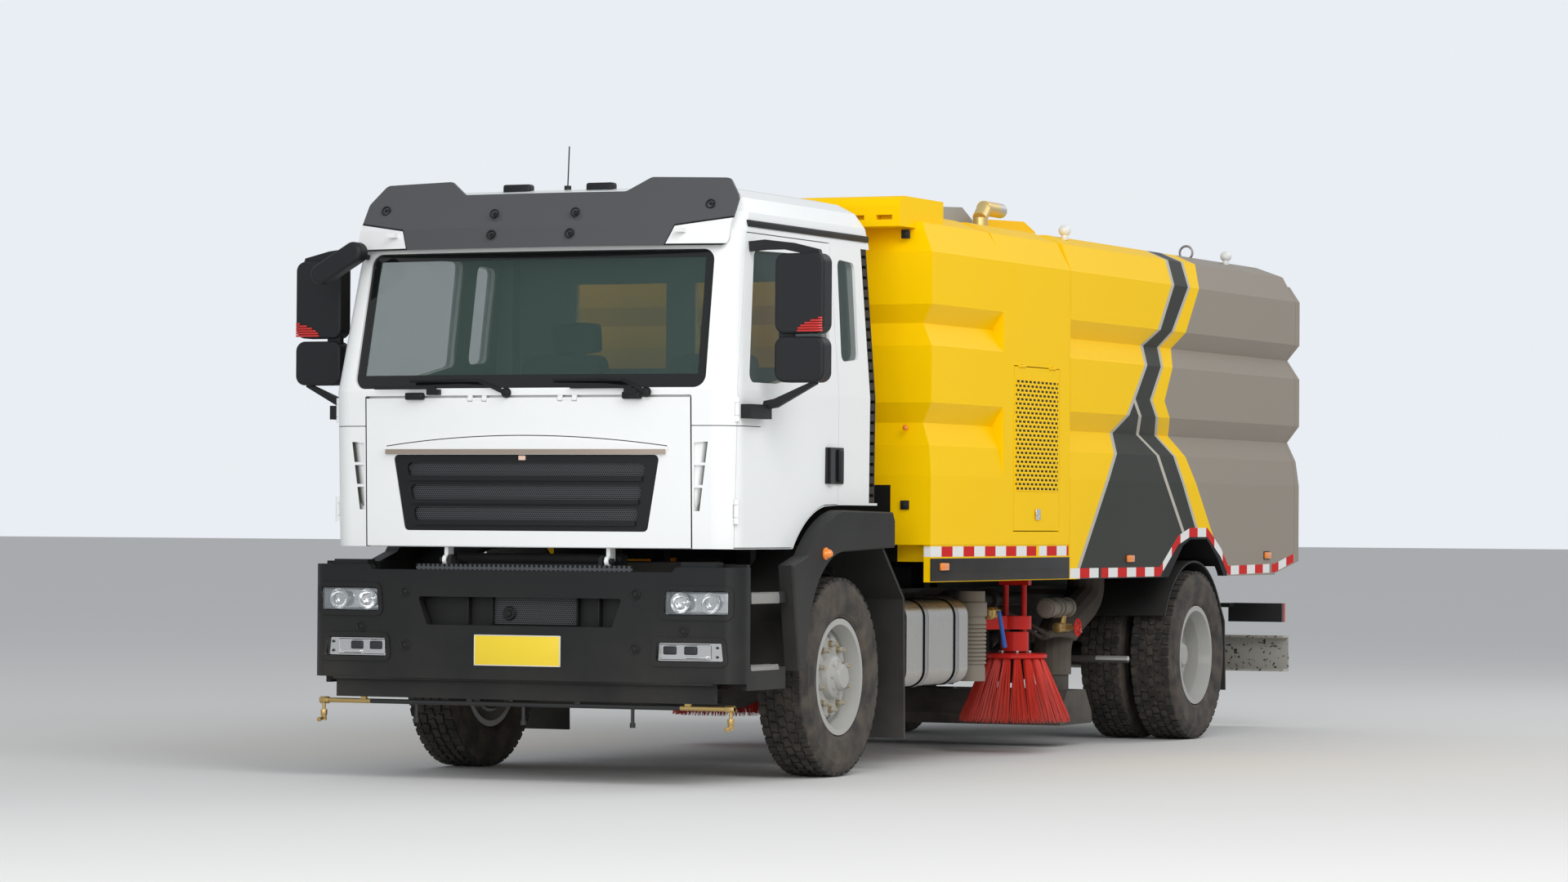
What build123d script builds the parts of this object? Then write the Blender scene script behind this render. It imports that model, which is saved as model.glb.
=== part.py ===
"""Two-axle street sweeper truck: tilting cab, tipping hopper, side brushes and suction head.

Millimetres. +X is the vehicle's left, the front faces -Y, +Z is up, and the origin lies on the
ground under the middle of the vehicle. Side outlines are written as (distance behind the front
axle, height), so the function at_front_axle moves them to their place.
"""
from build123d import *
from math import atan2, cos, degrees, hypot, radians, sin
import os

os.makedirs("parts", exist_ok=True)

# Driving dimensions
OVERALL_LENGTH = 8620
FRONT_OVERHANG = 1420
WHEELBASE = 5200
BODY_WIDTH = 2500
CAB_WIDTH = 2240
TYRE_RADIUS = 510
TYRE_WIDTH = 279
FRONT_TYRE_CENTRE = 1000
REAR_TYRE_CENTRE = 1100
TWIN_SPACING = 320
FRAME_TOP = 930
FRAME_DEPTH = 260
FRAME_WIDTH = 860

FRONT_AXLE_Y = FRONT_OVERHANG - OVERALL_LENGTH / 2
REAR_AXLE_Y = FRONT_AXLE_Y + WHEELBASE
HALF_BODY = BODY_WIDTH / 2
HALF_CAB = CAB_WIDTH / 2
HALF_FRAME = FRAME_WIDTH / 2
SEAT_GAP = 0.3
RUN_GAP = 0.4
SHUT_GAP = 5


def save(part, name):
    part.label = name
    export_step(part, f"parts/{name}.step")


def save_pair(part, name):
    save(part, f"{name}_left")
    save(mirror(part, about=Plane.YZ), f"{name}_right")


def at_front_axle(points):
    return [(FRONT_AXLE_Y + along, height) for along, height in points]


def at_rear_axle(points):
    return [(REAR_AXLE_Y + along, height) for along, height in points]


def side_plane(x):
    return Plane.YZ.offset(x)


def front_plane(along):
    """Upright cross plane at a distance behind the front axle; extrusions run forwards."""
    return Plane.XZ.offset(-(FRONT_AXLE_Y + along))


def box_between(x, y, z, mode=Mode.ADD):
    """Box from (low, high) pairs in X, distance behind the front axle, and Z."""
    with Locations(((x[0] + x[1]) / 2, FRONT_AXLE_Y + (y[0] + y[1]) / 2, (z[0] + z[1]) / 2)):
        Box(abs(x[1] - x[0]), y[1] - y[0], z[1] - z[0], mode=mode)


def rod_along(axis, centre, radius, length, mode=Mode.ADD):
    """Round bar about a centre given as (x, distance behind the front axle, z)."""
    turn = {"x": (0, 90, 0), "y": (90, 0, 0), "z": (0, 0, 0)}[axis]
    with Locations((centre[0], FRONT_AXLE_Y + centre[1], centre[2])):
        Cylinder(radius, length, rotation=turn, mode=mode)


KNUCKLE_GAP = 2


def along_axis(axis, centre, shift):
    """The point centre moved by shift along the named axis."""
    return [value + (shift if name == axis else 0) for name, value in zip("xyz", centre)]


def fixed_knuckles(axis, centre, radius, pin, width):
    """Outer knuckles and pin of a hinge, with room cut for the moving knuckle between them."""
    rod_along(axis, centre, radius + KNUCKLE_GAP, width + 2 * KNUCKLE_GAP, Mode.SUBTRACT)
    for side in (-1, 1):
        rod_along(axis, along_axis(axis, centre, side * (0.75 * width + KNUCKLE_GAP)), radius, width / 2)
    rod_along(axis, centre, pin, 2 * width)


def moving_knuckle(axis, centre, radius, pin, width):
    """Middle knuckle of a hinge with its bore, with room cut for the fixed knuckles."""
    for side in (-1, 1):
        rod_along(axis, along_axis(axis, centre, side * (0.75 * width + KNUCKLE_GAP)), radius + KNUCKLE_GAP,
                  width / 2 + 2 * KNUCKLE_GAP, Mode.SUBTRACT)
    rod_along(axis, centre, radius, width)
    rod_along(axis, centre, pin + RUN_GAP, width + KNUCKLE_GAP, Mode.SUBTRACT)


# Chassis frame: two channel rails, cross members, cab hinge lugs and tipping hinge lugs
RAIL_FLANGE = 80
RAIL_WALL = 10
RAIL_FRONT = -1300
RAIL_REAR = 6930
FRAME_BOTTOM = FRAME_TOP - FRAME_DEPTH
CROSS_MEMBERS = (-1240, 1000, 1700, 3250, 5900, 6860)
CROSS_LENGTH = 60
CAB_PIVOT = (-1330, 1100)
TIP_PIVOT = (WHEELBASE + 1650, 960)
PIN_RADIUS = 15
LUG_THICKNESS = 20
CAB_FLOOR_REAR = 1388
CAB_SUPPORT_Y = (400, 470)
CAB_SUPPORT_HALF = 560
LIFT_BASE = (4200, 550)
LIFT_SPACING = 200
LIFT_EYE = (5450, 985)
ARM_PIVOT = (520, 2330)
ARM_Z = (700, 775)
ARM_PIN_RADIUS = 20

with BuildPart() as chassis_frame:
    for sign in (1, -1):
        web = sorted((sign * (HALF_FRAME - RAIL_WALL), sign * HALF_FRAME))
        flange = sorted((sign * (HALF_FRAME - RAIL_FLANGE), sign * HALF_FRAME))
        box_between(web, (RAIL_FRONT, RAIL_REAR), (FRAME_BOTTOM, FRAME_TOP))
        box_between(flange, (RAIL_FRONT, RAIL_REAR), (FRAME_BOTTOM, FRAME_BOTTOM + RAIL_WALL))
        box_between(flange, (RAIL_FRONT, RAIL_REAR), (FRAME_TOP - RAIL_WALL, FRAME_TOP))
        cab_lug = sorted((sign * (HALF_FRAME - LUG_THICKNESS), sign * HALF_FRAME))
        box_between(cab_lug, (RAIL_FRONT, CAB_PIVOT[0] + 90), (FRAME_TOP, CAB_PIVOT[1] - 10))
        box_between(cab_lug, (CAB_PIVOT[0] - 28, CAB_PIVOT[0] + 60), (FRAME_TOP + 10, CAB_PIVOT[1]))
        rod_along("x", (sign * (HALF_FRAME - LUG_THICKNESS / 2), *CAB_PIVOT), 28, LUG_THICKNESS)
        rod_along("x", (sign * (HALF_FRAME + 15), *CAB_PIVOT), PIN_RADIUS, 70)
        tip_lug = sorted((sign * HALF_FRAME, sign * (HALF_FRAME + LUG_THICKNESS)))
        box_between(tip_lug, (TIP_PIVOT[0] - 35, TIP_PIVOT[0] + 35), (FRAME_TOP - 130, TIP_PIVOT[1]))
        rod_along("x", (sign * (HALF_FRAME + LUG_THICKNESS / 2), *TIP_PIVOT), 35, LUG_THICKNESS)
        rod_along("x", (sign * (HALF_FRAME + 30), *TIP_PIVOT), PIN_RADIUS, 60)
        post = sorted((sign * (HALF_FRAME - RAIL_FLANGE), sign * HALF_FRAME))
        box_between(post, CAB_SUPPORT_Y, (FRAME_TOP, CAB_FLOOR_REAR - 80))
        for level in ((ARM_Z[0] - 32, ARM_Z[0] - 2), (ARM_Z[1] + 2, ARM_Z[1] + 32)):
            ear = sorted((sign * HALF_FRAME, sign * (ARM_PIVOT[0] + 40)))
            box_between(ear, (ARM_PIVOT[1] - 45, ARM_PIVOT[1] + 45), level)
        rod_along("z", (sign * ARM_PIVOT[0], ARM_PIVOT[1], (ARM_Z[0] + ARM_Z[1]) / 2), ARM_PIN_RADIUS,
                  ARM_Z[1] - ARM_Z[0] + 60)
        for side in (-1, 1):
            lift_lug = sorted((sign * LIFT_SPACING + side * 34, sign * LIFT_SPACING + side * 50))
            box_between(lift_lug, (LIFT_BASE[0] - 40, LIFT_BASE[0] + 40), (LIFT_BASE[1] - 40, FRAME_BOTTOM + 60))
        rod_along("x", (sign * LIFT_SPACING, *LIFT_BASE), PIN_RADIUS, 100)
    box_between((-HALF_FRAME + RAIL_WALL, HALF_FRAME - RAIL_WALL), (LIFT_BASE[0] - 40, LIFT_BASE[0] + 20),
                (FRAME_BOTTOM + 10, FRAME_BOTTOM + 60))
    for along in CROSS_MEMBERS:
        box_between((-HALF_FRAME + RAIL_WALL, HALF_FRAME - RAIL_WALL), (along, along + CROSS_LENGTH),
                    (FRAME_BOTTOM + 90, FRAME_TOP - 40))
    box_between((-CAB_SUPPORT_HALF, CAB_SUPPORT_HALF), CAB_SUPPORT_Y,
                (CAB_FLOOR_REAR - 80, CAB_FLOOR_REAR - SEAT_GAP))
save(chassis_frame.part, "chassis_frame")

# Engine, gearbox: one plain mass under the cab, hung on the rails
ENGINE_HALF = 330
ENGINE_Y = (-1000, 240)
ENGINE_Z = (520, 1090)
GEARBOX_Y = (240, 900)
GEARBOX_HALF = 220

with BuildPart() as engine:
    box_between((-ENGINE_HALF, ENGINE_HALF), ENGINE_Y, ENGINE_Z)
    box_between((-GEARBOX_HALF, GEARBOX_HALF), GEARBOX_Y, (ENGINE_Z[0] - 20, ENGINE_Z[0] + 320))
    for along in (ENGINE_Y[0] + 200, ENGINE_Y[1] - 160):
        box_between((-HALF_FRAME + RAIL_WALL + SEAT_GAP, HALF_FRAME - RAIL_WALL - SEAT_GAP),
                    (along, along + 120), (FRAME_BOTTOM + 60, FRAME_BOTTOM + 120))
save(engine.part, "engine_and_gearbox")

# Front axle: dropped beam with kingpin bosses, leaf springs and their hangers
SPRING_X = HALF_FRAME - 40
SPRING_WIDTH = 80
KINGPIN_X = 800
KINGPIN_RADIUS = 20
BEAM_DEPTH = 100
BEAM_WIDTH = 110
BEAM_DROP = 120
BOSS_RADIUS = 50
BOSS_HEIGHT = 150
LEAF_PACK = 60


def leaf_spring(axle_y, seat, half_length, rise):
    """Curved leaf pack resting on the axle, its eyes hung from the rails by brackets."""
    for sign in (1, -1):
        with BuildSketch(side_plane(sign * SPRING_X - SPRING_WIDTH / 2)) as leaves:
            with BuildLine():
                ThreePointArc((axle_y - half_length, seat + rise), (axle_y, seat),
                              (axle_y + half_length, seat + rise))
                Line((axle_y + half_length, seat + rise), (axle_y + half_length, seat + rise + 22))
                ThreePointArc((axle_y + half_length, seat + rise + 22), (axle_y, seat + LEAF_PACK),
                              (axle_y - half_length, seat + rise + 22))
                Line((axle_y - half_length, seat + rise + 22), (axle_y - half_length, seat + rise))
            make_face()
        extrude(leaves.sketch, amount=SPRING_WIDTH)
        for end in (-half_length, half_length):
            with Locations((sign * SPRING_X, axle_y + end, (seat + rise + FRAME_BOTTOM - SEAT_GAP) / 2)):
                Box(SPRING_WIDTH, 60, FRAME_BOTTOM - SEAT_GAP - seat - rise)


with BuildPart() as front_axle:
    beam_top = TYRE_RADIUS - BEAM_DROP + BEAM_DEPTH / 2
    with BuildSketch(front_plane(BEAM_WIDTH / 2)):
        with BuildLine():
            Polyline((-KINGPIN_X, TYRE_RADIUS + 50), (-KINGPIN_X, TYRE_RADIUS - 50),
                     (-560, beam_top - BEAM_DEPTH), (560, beam_top - BEAM_DEPTH),
                     (KINGPIN_X, TYRE_RADIUS - 50), (KINGPIN_X, TYRE_RADIUS + 50),
                     (520, beam_top), (-520, beam_top), close=True)
        make_face()
    extrude(amount=BEAM_WIDTH)
    for sign in (1, -1):
        rod_along("z", (sign * KINGPIN_X, 0, TYRE_RADIUS), BOSS_RADIUS, BOSS_HEIGHT)
        rod_along("z", (sign * KINGPIN_X, 0, TYRE_RADIUS), KINGPIN_RADIUS + RUN_GAP, 2 * BOSS_HEIGHT,
                  Mode.SUBTRACT)
        for face in (-1, 1):
            flute = sorted((face * 20, face * (BEAM_WIDTH / 2)))
            box_between((-480, 480), flute, (beam_top - 75, beam_top - 25), mode=Mode.SUBTRACT)
    leaf_spring(FRONT_AXLE_Y, beam_top, 780, 110)
save(front_axle.part, "front_axle")

# Rear axle: banjo housing, springs and the propeller shaft
HOUSING_RADIUS = 70
DIFF_RADIUS = 195
AXLE_END = 610
REAR_SPINDLE_RADIUS = 45
REAR_SPINDLE_END = 730
SHAFT_RADIUS = 50

shaft_front = (GEARBOX_Y[1], ENGINE_Z[0] + 140)
shaft_rear = (WHEELBASE - DIFF_RADIUS - 110, TYRE_RADIUS)
shaft_run = shaft_rear[0] - shaft_front[0]
shaft_drop = shaft_front[1] - shaft_rear[1]

with BuildPart() as rear_axle:
    rod_along("x", (0, WHEELBASE, TYRE_RADIUS), HOUSING_RADIUS, 2 * AXLE_END)
    rod_along("x", (0, WHEELBASE, TYRE_RADIUS), REAR_SPINDLE_RADIUS, 2 * REAR_SPINDLE_END)
    with Locations((0, REAR_AXLE_Y, TYRE_RADIUS)):
        Sphere(DIFF_RADIUS)
    rod_along("y", (0, WHEELBASE - DIFF_RADIUS - 30, TYRE_RADIUS), 90, 160)
    leaf_spring(REAR_AXLE_Y, TYRE_RADIUS + HOUSING_RADIUS - 10, 700, 20)
    with Locations(Location((0, FRONT_AXLE_Y + (shaft_front[0] + shaft_rear[0]) / 2,
                             (shaft_front[1] + shaft_rear[1]) / 2),
                            (90 - degrees(atan2(shaft_drop, shaft_run)), 0, 0))):
        Cylinder(SHAFT_RADIUS, hypot(shaft_run, shaft_drop) - 40)
    rod_along("y", (0, shaft_front[0] + 15, shaft_front[1]), 70, 30 - 2 * SEAT_GAP)
    rod_along("y", (0, shaft_rear[0] - 15, shaft_rear[1]), 70, 30 - 2 * SEAT_GAP)
save(rear_axle.part, "rear_axle")

# Steering knuckles: fork round the beam's boss, web, backing plate and spindle
SPINDLE_RADIUS = 36
DRUM_INNER = 885
BACKING_RADIUS = 205
FORK_GAP = 2
FORK_HEIGHT = 55

with BuildPart() as knuckle:
    for sign in (1, -1):
        rod_along("z", (KINGPIN_X, 0, TYRE_RADIUS + sign * (BOSS_HEIGHT / 2 + FORK_GAP + FORK_HEIGHT / 2)),
                  BOSS_RADIUS - 4, FORK_HEIGHT)
        box_between((KINGPIN_X, DRUM_INNER - 15), (-40, 40),
                    sorted((TYRE_RADIUS + sign * (BOSS_HEIGHT / 2 + FORK_GAP),
                            TYRE_RADIUS + sign * (BOSS_HEIGHT / 2 + FORK_GAP + FORK_HEIGHT))))
    box_between((KINGPIN_X + BOSS_RADIUS + 5, DRUM_INNER - 15), (-40, 40),
                (TYRE_RADIUS - 100, TYRE_RADIUS + 100))
    rod_along("z", (KINGPIN_X, 0, TYRE_RADIUS), KINGPIN_RADIUS, BOSS_HEIGHT + 2 * FORK_HEIGHT)
    rod_along("x", (DRUM_INNER - 10, 0, TYRE_RADIUS), BACKING_RADIUS, 12)
    rod_along("x", (DRUM_INNER + 90, 0, TYRE_RADIUS), SPINDLE_RADIUS, 190)
save_pair(knuckle.part, "steering_knuckle")

# Wheels: rim profiles are revolved rings written as (distance out from the rim's middle, radius)
RIM_HALF = 117
RIM_FLANGE = 298
RIM_WELL = 262
RIM_WALL = 12
DISC_WALL = 14
HUB_RADIUS = 118
STUD_CIRCLE = 167.5
STUD_COUNT = 10
STUD_RADIUS = 15
VENT_CIRCLE = 215
VENT_RADIUS = 23
TYRE_BEAD = 281.3
RIM_SEAT = 280


def wheel_axis(centre_x, axle_y):
    """Plane whose first axis runs outwards along the spindle and whose second is the radius."""
    return Plane(origin=(centre_x, axle_y, TYRE_RADIUS), x_dir=(1, 0, 0), z_dir=(0, -1, 0))


def revolve_ring(centre_x, axle_y, points, mode=Mode.ADD):
    with BuildSketch(wheel_axis(centre_x, axle_y)) as ring:
        with BuildLine():
            Polyline(*points, close=True)
        make_face()
    revolve(ring.sketch, axis=Axis((centre_x, axle_y, TYRE_RADIUS), (1, 0, 0)), mode=mode)


def rim_barrel(centre_x, axle_y):
    revolve_ring(centre_x, axle_y, (
        (-RIM_HALF, RIM_FLANGE), (-RIM_HALF + 12, RIM_FLANGE), (-RIM_HALF + 16, RIM_SEAT),
        (-50, RIM_SEAT), (-35, RIM_WELL), (35, RIM_WELL), (50, RIM_SEAT),
        (RIM_HALF - 16, RIM_SEAT), (RIM_HALF - 12, RIM_FLANGE), (RIM_HALF, RIM_FLANGE),
        (RIM_HALF, RIM_FLANGE - 30), (45, RIM_WELL - RIM_WALL), (-45, RIM_WELL - RIM_WALL),
        (-RIM_HALF, RIM_FLANGE - 30)))


# Closed tyre section from the bead over wall and tread to the other bead, columns (distance out, radius)
TYRE_FOOT = RIM_HALF - 16
TYRE_SECTION = ((TYRE_FOOT, TYRE_BEAD), (TYRE_FOOT, 303), (TYRE_WIDTH / 2, 395), (119, 486), (103, TYRE_RADIUS),
                (-103, TYRE_RADIUS), (-119, 486), (-TYRE_WIDTH / 2, 395), (-TYRE_FOOT, 303), (-TYRE_FOOT, TYRE_BEAD))
TYRE_SIDES = 40


def tyre(centre_x, axle_y):
    """Closed section carried round the axle in flat facets, which keeps a tyre light."""
    rings = [[Vector(centre_x + along, axle_y + radius * cos(radians(360 * side / TYRE_SIDES)),
                     TYRE_RADIUS + radius * sin(radians(360 * side / TYRE_SIDES)))
              for side in range(TYRE_SIDES)] for along, radius in TYRE_SECTION]
    facets = []
    for ring, following in zip(rings, rings[1:] + rings[:1]):
        for side in range(TYRE_SIDES):
            after = (side + 1) % TYRE_SIDES
            corners = (ring[side], ring[after], following[after], following[side])
            facets.append(Face(Wire.make_polygon(corners, close=True)))
    add(Solid(Shell(facets)))


def round_pattern(centre_x, axle_y, radius, count, hole_radius, depth, mode):
    with Locations(Location((centre_x, axle_y, TYRE_RADIUS), (0, 90, 0))):
        with PolarLocations(radius, count):
            Cylinder(hole_radius, depth, mode=mode)


FRONT_DISC = 62
HUB_FACE = 95
with BuildPart() as front_rim:
    rim_barrel(FRONT_TYRE_CENTRE, FRONT_AXLE_Y)
    revolve_ring(FRONT_TYRE_CENTRE, FRONT_AXLE_Y, (
        (20, RIM_WELL - 4), (FRONT_DISC, 200), (FRONT_DISC, HUB_RADIUS - 5),
        (FRONT_DISC - DISC_WALL, HUB_RADIUS - 5), (FRONT_DISC - DISC_WALL, 195), (4, RIM_WELL - 4)))
    round_pattern(FRONT_TYRE_CENTRE + FRONT_DISC, FRONT_AXLE_Y, VENT_CIRCLE, STUD_COUNT, VENT_RADIUS,
                  90, Mode.SUBTRACT)
    revolve_ring(FRONT_TYRE_CENTRE, FRONT_AXLE_Y, (
        (DRUM_INNER - FRONT_TYRE_CENTRE + 2, 200), (DRUM_INNER - FRONT_TYRE_CENTRE + 2, 218),
        (FRONT_DISC - DISC_WALL - 18, 218), (FRONT_DISC - DISC_WALL - 0, 195),
        (FRONT_DISC, 190), (FRONT_DISC, HUB_RADIUS), (HUB_FACE, HUB_RADIUS - 12),
        (HUB_FACE + 22, 70), (HUB_FACE + 22, 0), (76, 0), (76, SPINDLE_RADIUS + RUN_GAP),
        (0, SPINDLE_RADIUS + RUN_GAP), (0, 90), (FRONT_DISC - DISC_WALL - 22, 110),
        (FRONT_DISC - DISC_WALL - 22, 200)))
    round_pattern(FRONT_TYRE_CENTRE + FRONT_DISC + 16, FRONT_AXLE_Y, STUD_CIRCLE, STUD_COUNT,
                  STUD_RADIUS, 36, Mode.ADD)
# The right rim stands half a stud pitch further round, so that its studs don't line up with the left one's
save(front_rim.part, "front_rim_left")
save(mirror(front_rim.part, about=Plane.YZ).rotate(Axis((0, FRONT_AXLE_Y, TYRE_RADIUS), (1, 0, 0)),
                                                   180 / STUD_COUNT), "front_rim_right")

with BuildPart() as front_tyre:
    tyre(FRONT_TYRE_CENTRE, FRONT_AXLE_Y)
save_pair(front_tyre.part, "front_tyre")

INNER_TYRE_CENTRE = REAR_TYRE_CENTRE - TWIN_SPACING
CLAMP_PLANE = REAR_TYRE_CENTRE - TWIN_SPACING / 2
with BuildPart() as rear_rims:
    rim_barrel(REAR_TYRE_CENTRE, REAR_AXLE_Y)
    rim_barrel(INNER_TYRE_CENTRE, REAR_AXLE_Y)
    for face in (1, -1):
        revolve_ring(CLAMP_PLANE, REAR_AXLE_Y, (
            (0, HUB_RADIUS - 5), (face * DISC_WALL, HUB_RADIUS - 5), (face * DISC_WALL, 200),
            (face * (TWIN_SPACING / 2 - 20), RIM_WELL - 4), (face * (TWIN_SPACING / 2 - 36), RIM_WELL - 4),
            (0, 205)))
    revolve_ring(CLAMP_PLANE, REAR_AXLE_Y, (
        (AXLE_END + 8 - CLAMP_PLANE, 218), (DISC_WALL - 40, 218), (-DISC_WALL, 190),
        (DISC_WALL, 190), (DISC_WALL, HUB_RADIUS), (120, HUB_RADIUS - 14), (140, 60), (140, 0),
        (REAR_SPINDLE_END + 6 - CLAMP_PLANE, 0), (REAR_SPINDLE_END + 6 - CLAMP_PLANE, REAR_SPINDLE_RADIUS + RUN_GAP),
        (AXLE_END + 8 - CLAMP_PLANE, REAR_SPINDLE_RADIUS + RUN_GAP)))
    round_pattern(CLAMP_PLANE + DISC_WALL + 16, REAR_AXLE_Y, STUD_CIRCLE, STUD_COUNT, STUD_RADIUS, 36,
                  Mode.ADD)
save_pair(rear_rims.part, "rear_rims")

with BuildPart() as rear_tyres:
    tyre(REAR_TYRE_CENTRE, REAR_AXLE_Y)
    tyre(INNER_TYRE_CENTRE, REAR_AXLE_Y)
save_pair(rear_tyres.part, "rear_tyres")

# Cab form: level plan sections, columns (height, half width, front at the middle, rear, wall side)
CAB_SECTIONS = (
    (1165, HALF_CAB - 6, -1378, 480, 1.0),
    (1945, HALF_CAB, -1400, 480, 0.0),
    (2740, HALF_CAB - 62, -1230, 480, 0.0),
    (2830, HALF_CAB - 78, -1172, 468, -0.3),
    (2905, HALF_CAB - 118, -1092, 425, -0.6),
    (2950, HALF_CAB - 185, -1000, 350, -0.85),
    (2968, HALF_CAB - 270, -900, 250, -1.0),
)
CAB_BOW = 75
CAB_CORNER = 130
CAB_WALL = 55


def cab_form(inset, mode=Mode.ADD, open_below=False):
    """Whole cab outline moved inwards by inset, its front bowed in plan."""
    sections = []
    for height, half_width, front, rear, wall_side in CAB_SECTIONS:
        if open_below and wall_side > 0:
            wall_side = -wall_side
        side = half_width - inset
        nose = FRONT_AXLE_Y + front + inset
        back = FRONT_AXLE_Y + rear - inset
        with BuildSketch(Plane.XY.offset(height + wall_side * inset)) as plan:
            with BuildLine():
                ThreePointArc((-side, nose + CAB_BOW), (0, nose), (side, nose + CAB_BOW))
                Polyline((side, nose + CAB_BOW), (side, back), (-side, back), (-side, nose + CAB_BOW))
            make_face()
            fillet(plan.vertices().group_by(Axis.Y)[0], CAB_CORNER - inset)
        sections.append(plan.sketch)
    loft(sections, ruled=True, mode=mode)


def front_prism(points, radius, mode, reach=500):
    """Closed front outline given as (x, height) points, run through the front of the cab."""
    with BuildSketch(front_plane(-1000)) as outline:
        with BuildLine():
            Polyline(*points, close=True)
        make_face()
        if radius:
            fillet(outline.vertices(), radius)
    extrude(outline.sketch, amount=reach, mode=mode)


def door_outline(grow=0.0):
    with BuildSketch(side_plane(SIDE_CUT_X)) as outline:
        with BuildLine():
            Polyline(*at_front_axle(((-30, 1388), (-30, 2730), (-1050, 2730), (-1257, 1960),
                                     (-1257, 1168), (-592, 1168))))
            ThreePointArc(*at_front_axle(((-592, 1168), (-420, 1310), (-196, 1384))))
            Line(*at_front_axle(((-196, 1384), (-30, 1388))))
        make_face()
        if grow:
            offset(amount=grow, kind=Kind.INTERSECTION)
    return outline.sketch


def side_window(points, radius, grow=0.0):
    with BuildSketch(side_plane(SIDE_CUT_X)) as window:
        with BuildLine():
            Polyline(*at_front_axle(points), close=True)
        make_face()
        fillet(window.vertices(), radius)
        if grow:
            offset(amount=grow)
    return window.sketch


SIDE_CUT_X = HALF_CAB - 140
SIDE_CUT = 400
DOOR_WINDOW = ((-1135, 1985), (-975, 2640), (-95, 2660), (-118, 2110), (-800, 1985))
QUARTER_WINDOW = ((25, 2120), (55, 2650), (275, 2640), (250, 2140))
WINDOW_CORNER = 40
SCREEN_OUTLINE = ((-975, 1955), (975, 1955), (955, 2640), (-955, 2640))
SCREEN_CORNER = 60
REAR_WINDOWS = ((-620, -80), (80, 620))
REAR_WINDOW_Z = (2110, 2560)
FLAP_HALF = 900
FLAP_TOP = 1907
FLAP_SEAM = 12
FLAP_HINGES = (-250, 250)
FLAP_HINGE = (-1388, 1899)
FLAP_KNUCKLE = (9, 5, 50)
DOOR_HINGE = (1108, -1257)
DOOR_HINGE_LEVELS = (1350, 1850)
DOOR_KNUCKLE = (14, 7, 60)
FLAP_BOTTOM = 1169
FLAP_WALL = 26
RECESS_DEPTH = 30
STRIP_DEPTH = 110
STRIP_WIDTH = 70
STRIP_Z = (1400, 2720)
CAB_REAR = 480
GLASS_WALL = 8
GLASS_INSET = 14

with BuildPart() as flap_recess:
    cab_form(0)
    front_prism(((-FLAP_HALF - 4, 1100), (FLAP_HALF + 4, 1100), (FLAP_HALF + 4, FLAP_TOP + FLAP_SEAM),
                 (-FLAP_HALF - 4, FLAP_TOP + FLAP_SEAM)), 0, Mode.INTERSECT)
    cab_form(RECESS_DEPTH, Mode.SUBTRACT, open_below=True)

SCOOP_OUTLINE = ((916, 1345), (950, 1400), (988, 1690), (916, 1684))
SCOOP_RIBS = (1470, 1580)

with BuildPart() as corner_scoops:
    front_prism(SCOOP_OUTLINE, 8, Mode.ADD)
    for level in SCOOP_RIBS:
        box_between((900, 1000), (-1500, -1000), (level - 6, level + 6), Mode.SUBTRACT)
    mirror(about=Plane.YZ)
    cab_form(-5, Mode.INTERSECT)
    cab_form(14, Mode.SUBTRACT)

with BuildPart() as cab_cavity:
    cab_form(CAB_WALL)
    with BuildSketch(side_plane(-HALF_CAB)):
        with BuildLine():
            Polyline(*at_front_axle(((-640, 1000), (-640, 1210), (-300, 1440), (CAB_REAR, 1440),
                                     (CAB_REAR, 1000))), close=True)
        make_face()
    extrude(amount=CAB_WIDTH, mode=Mode.SUBTRACT)

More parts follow.
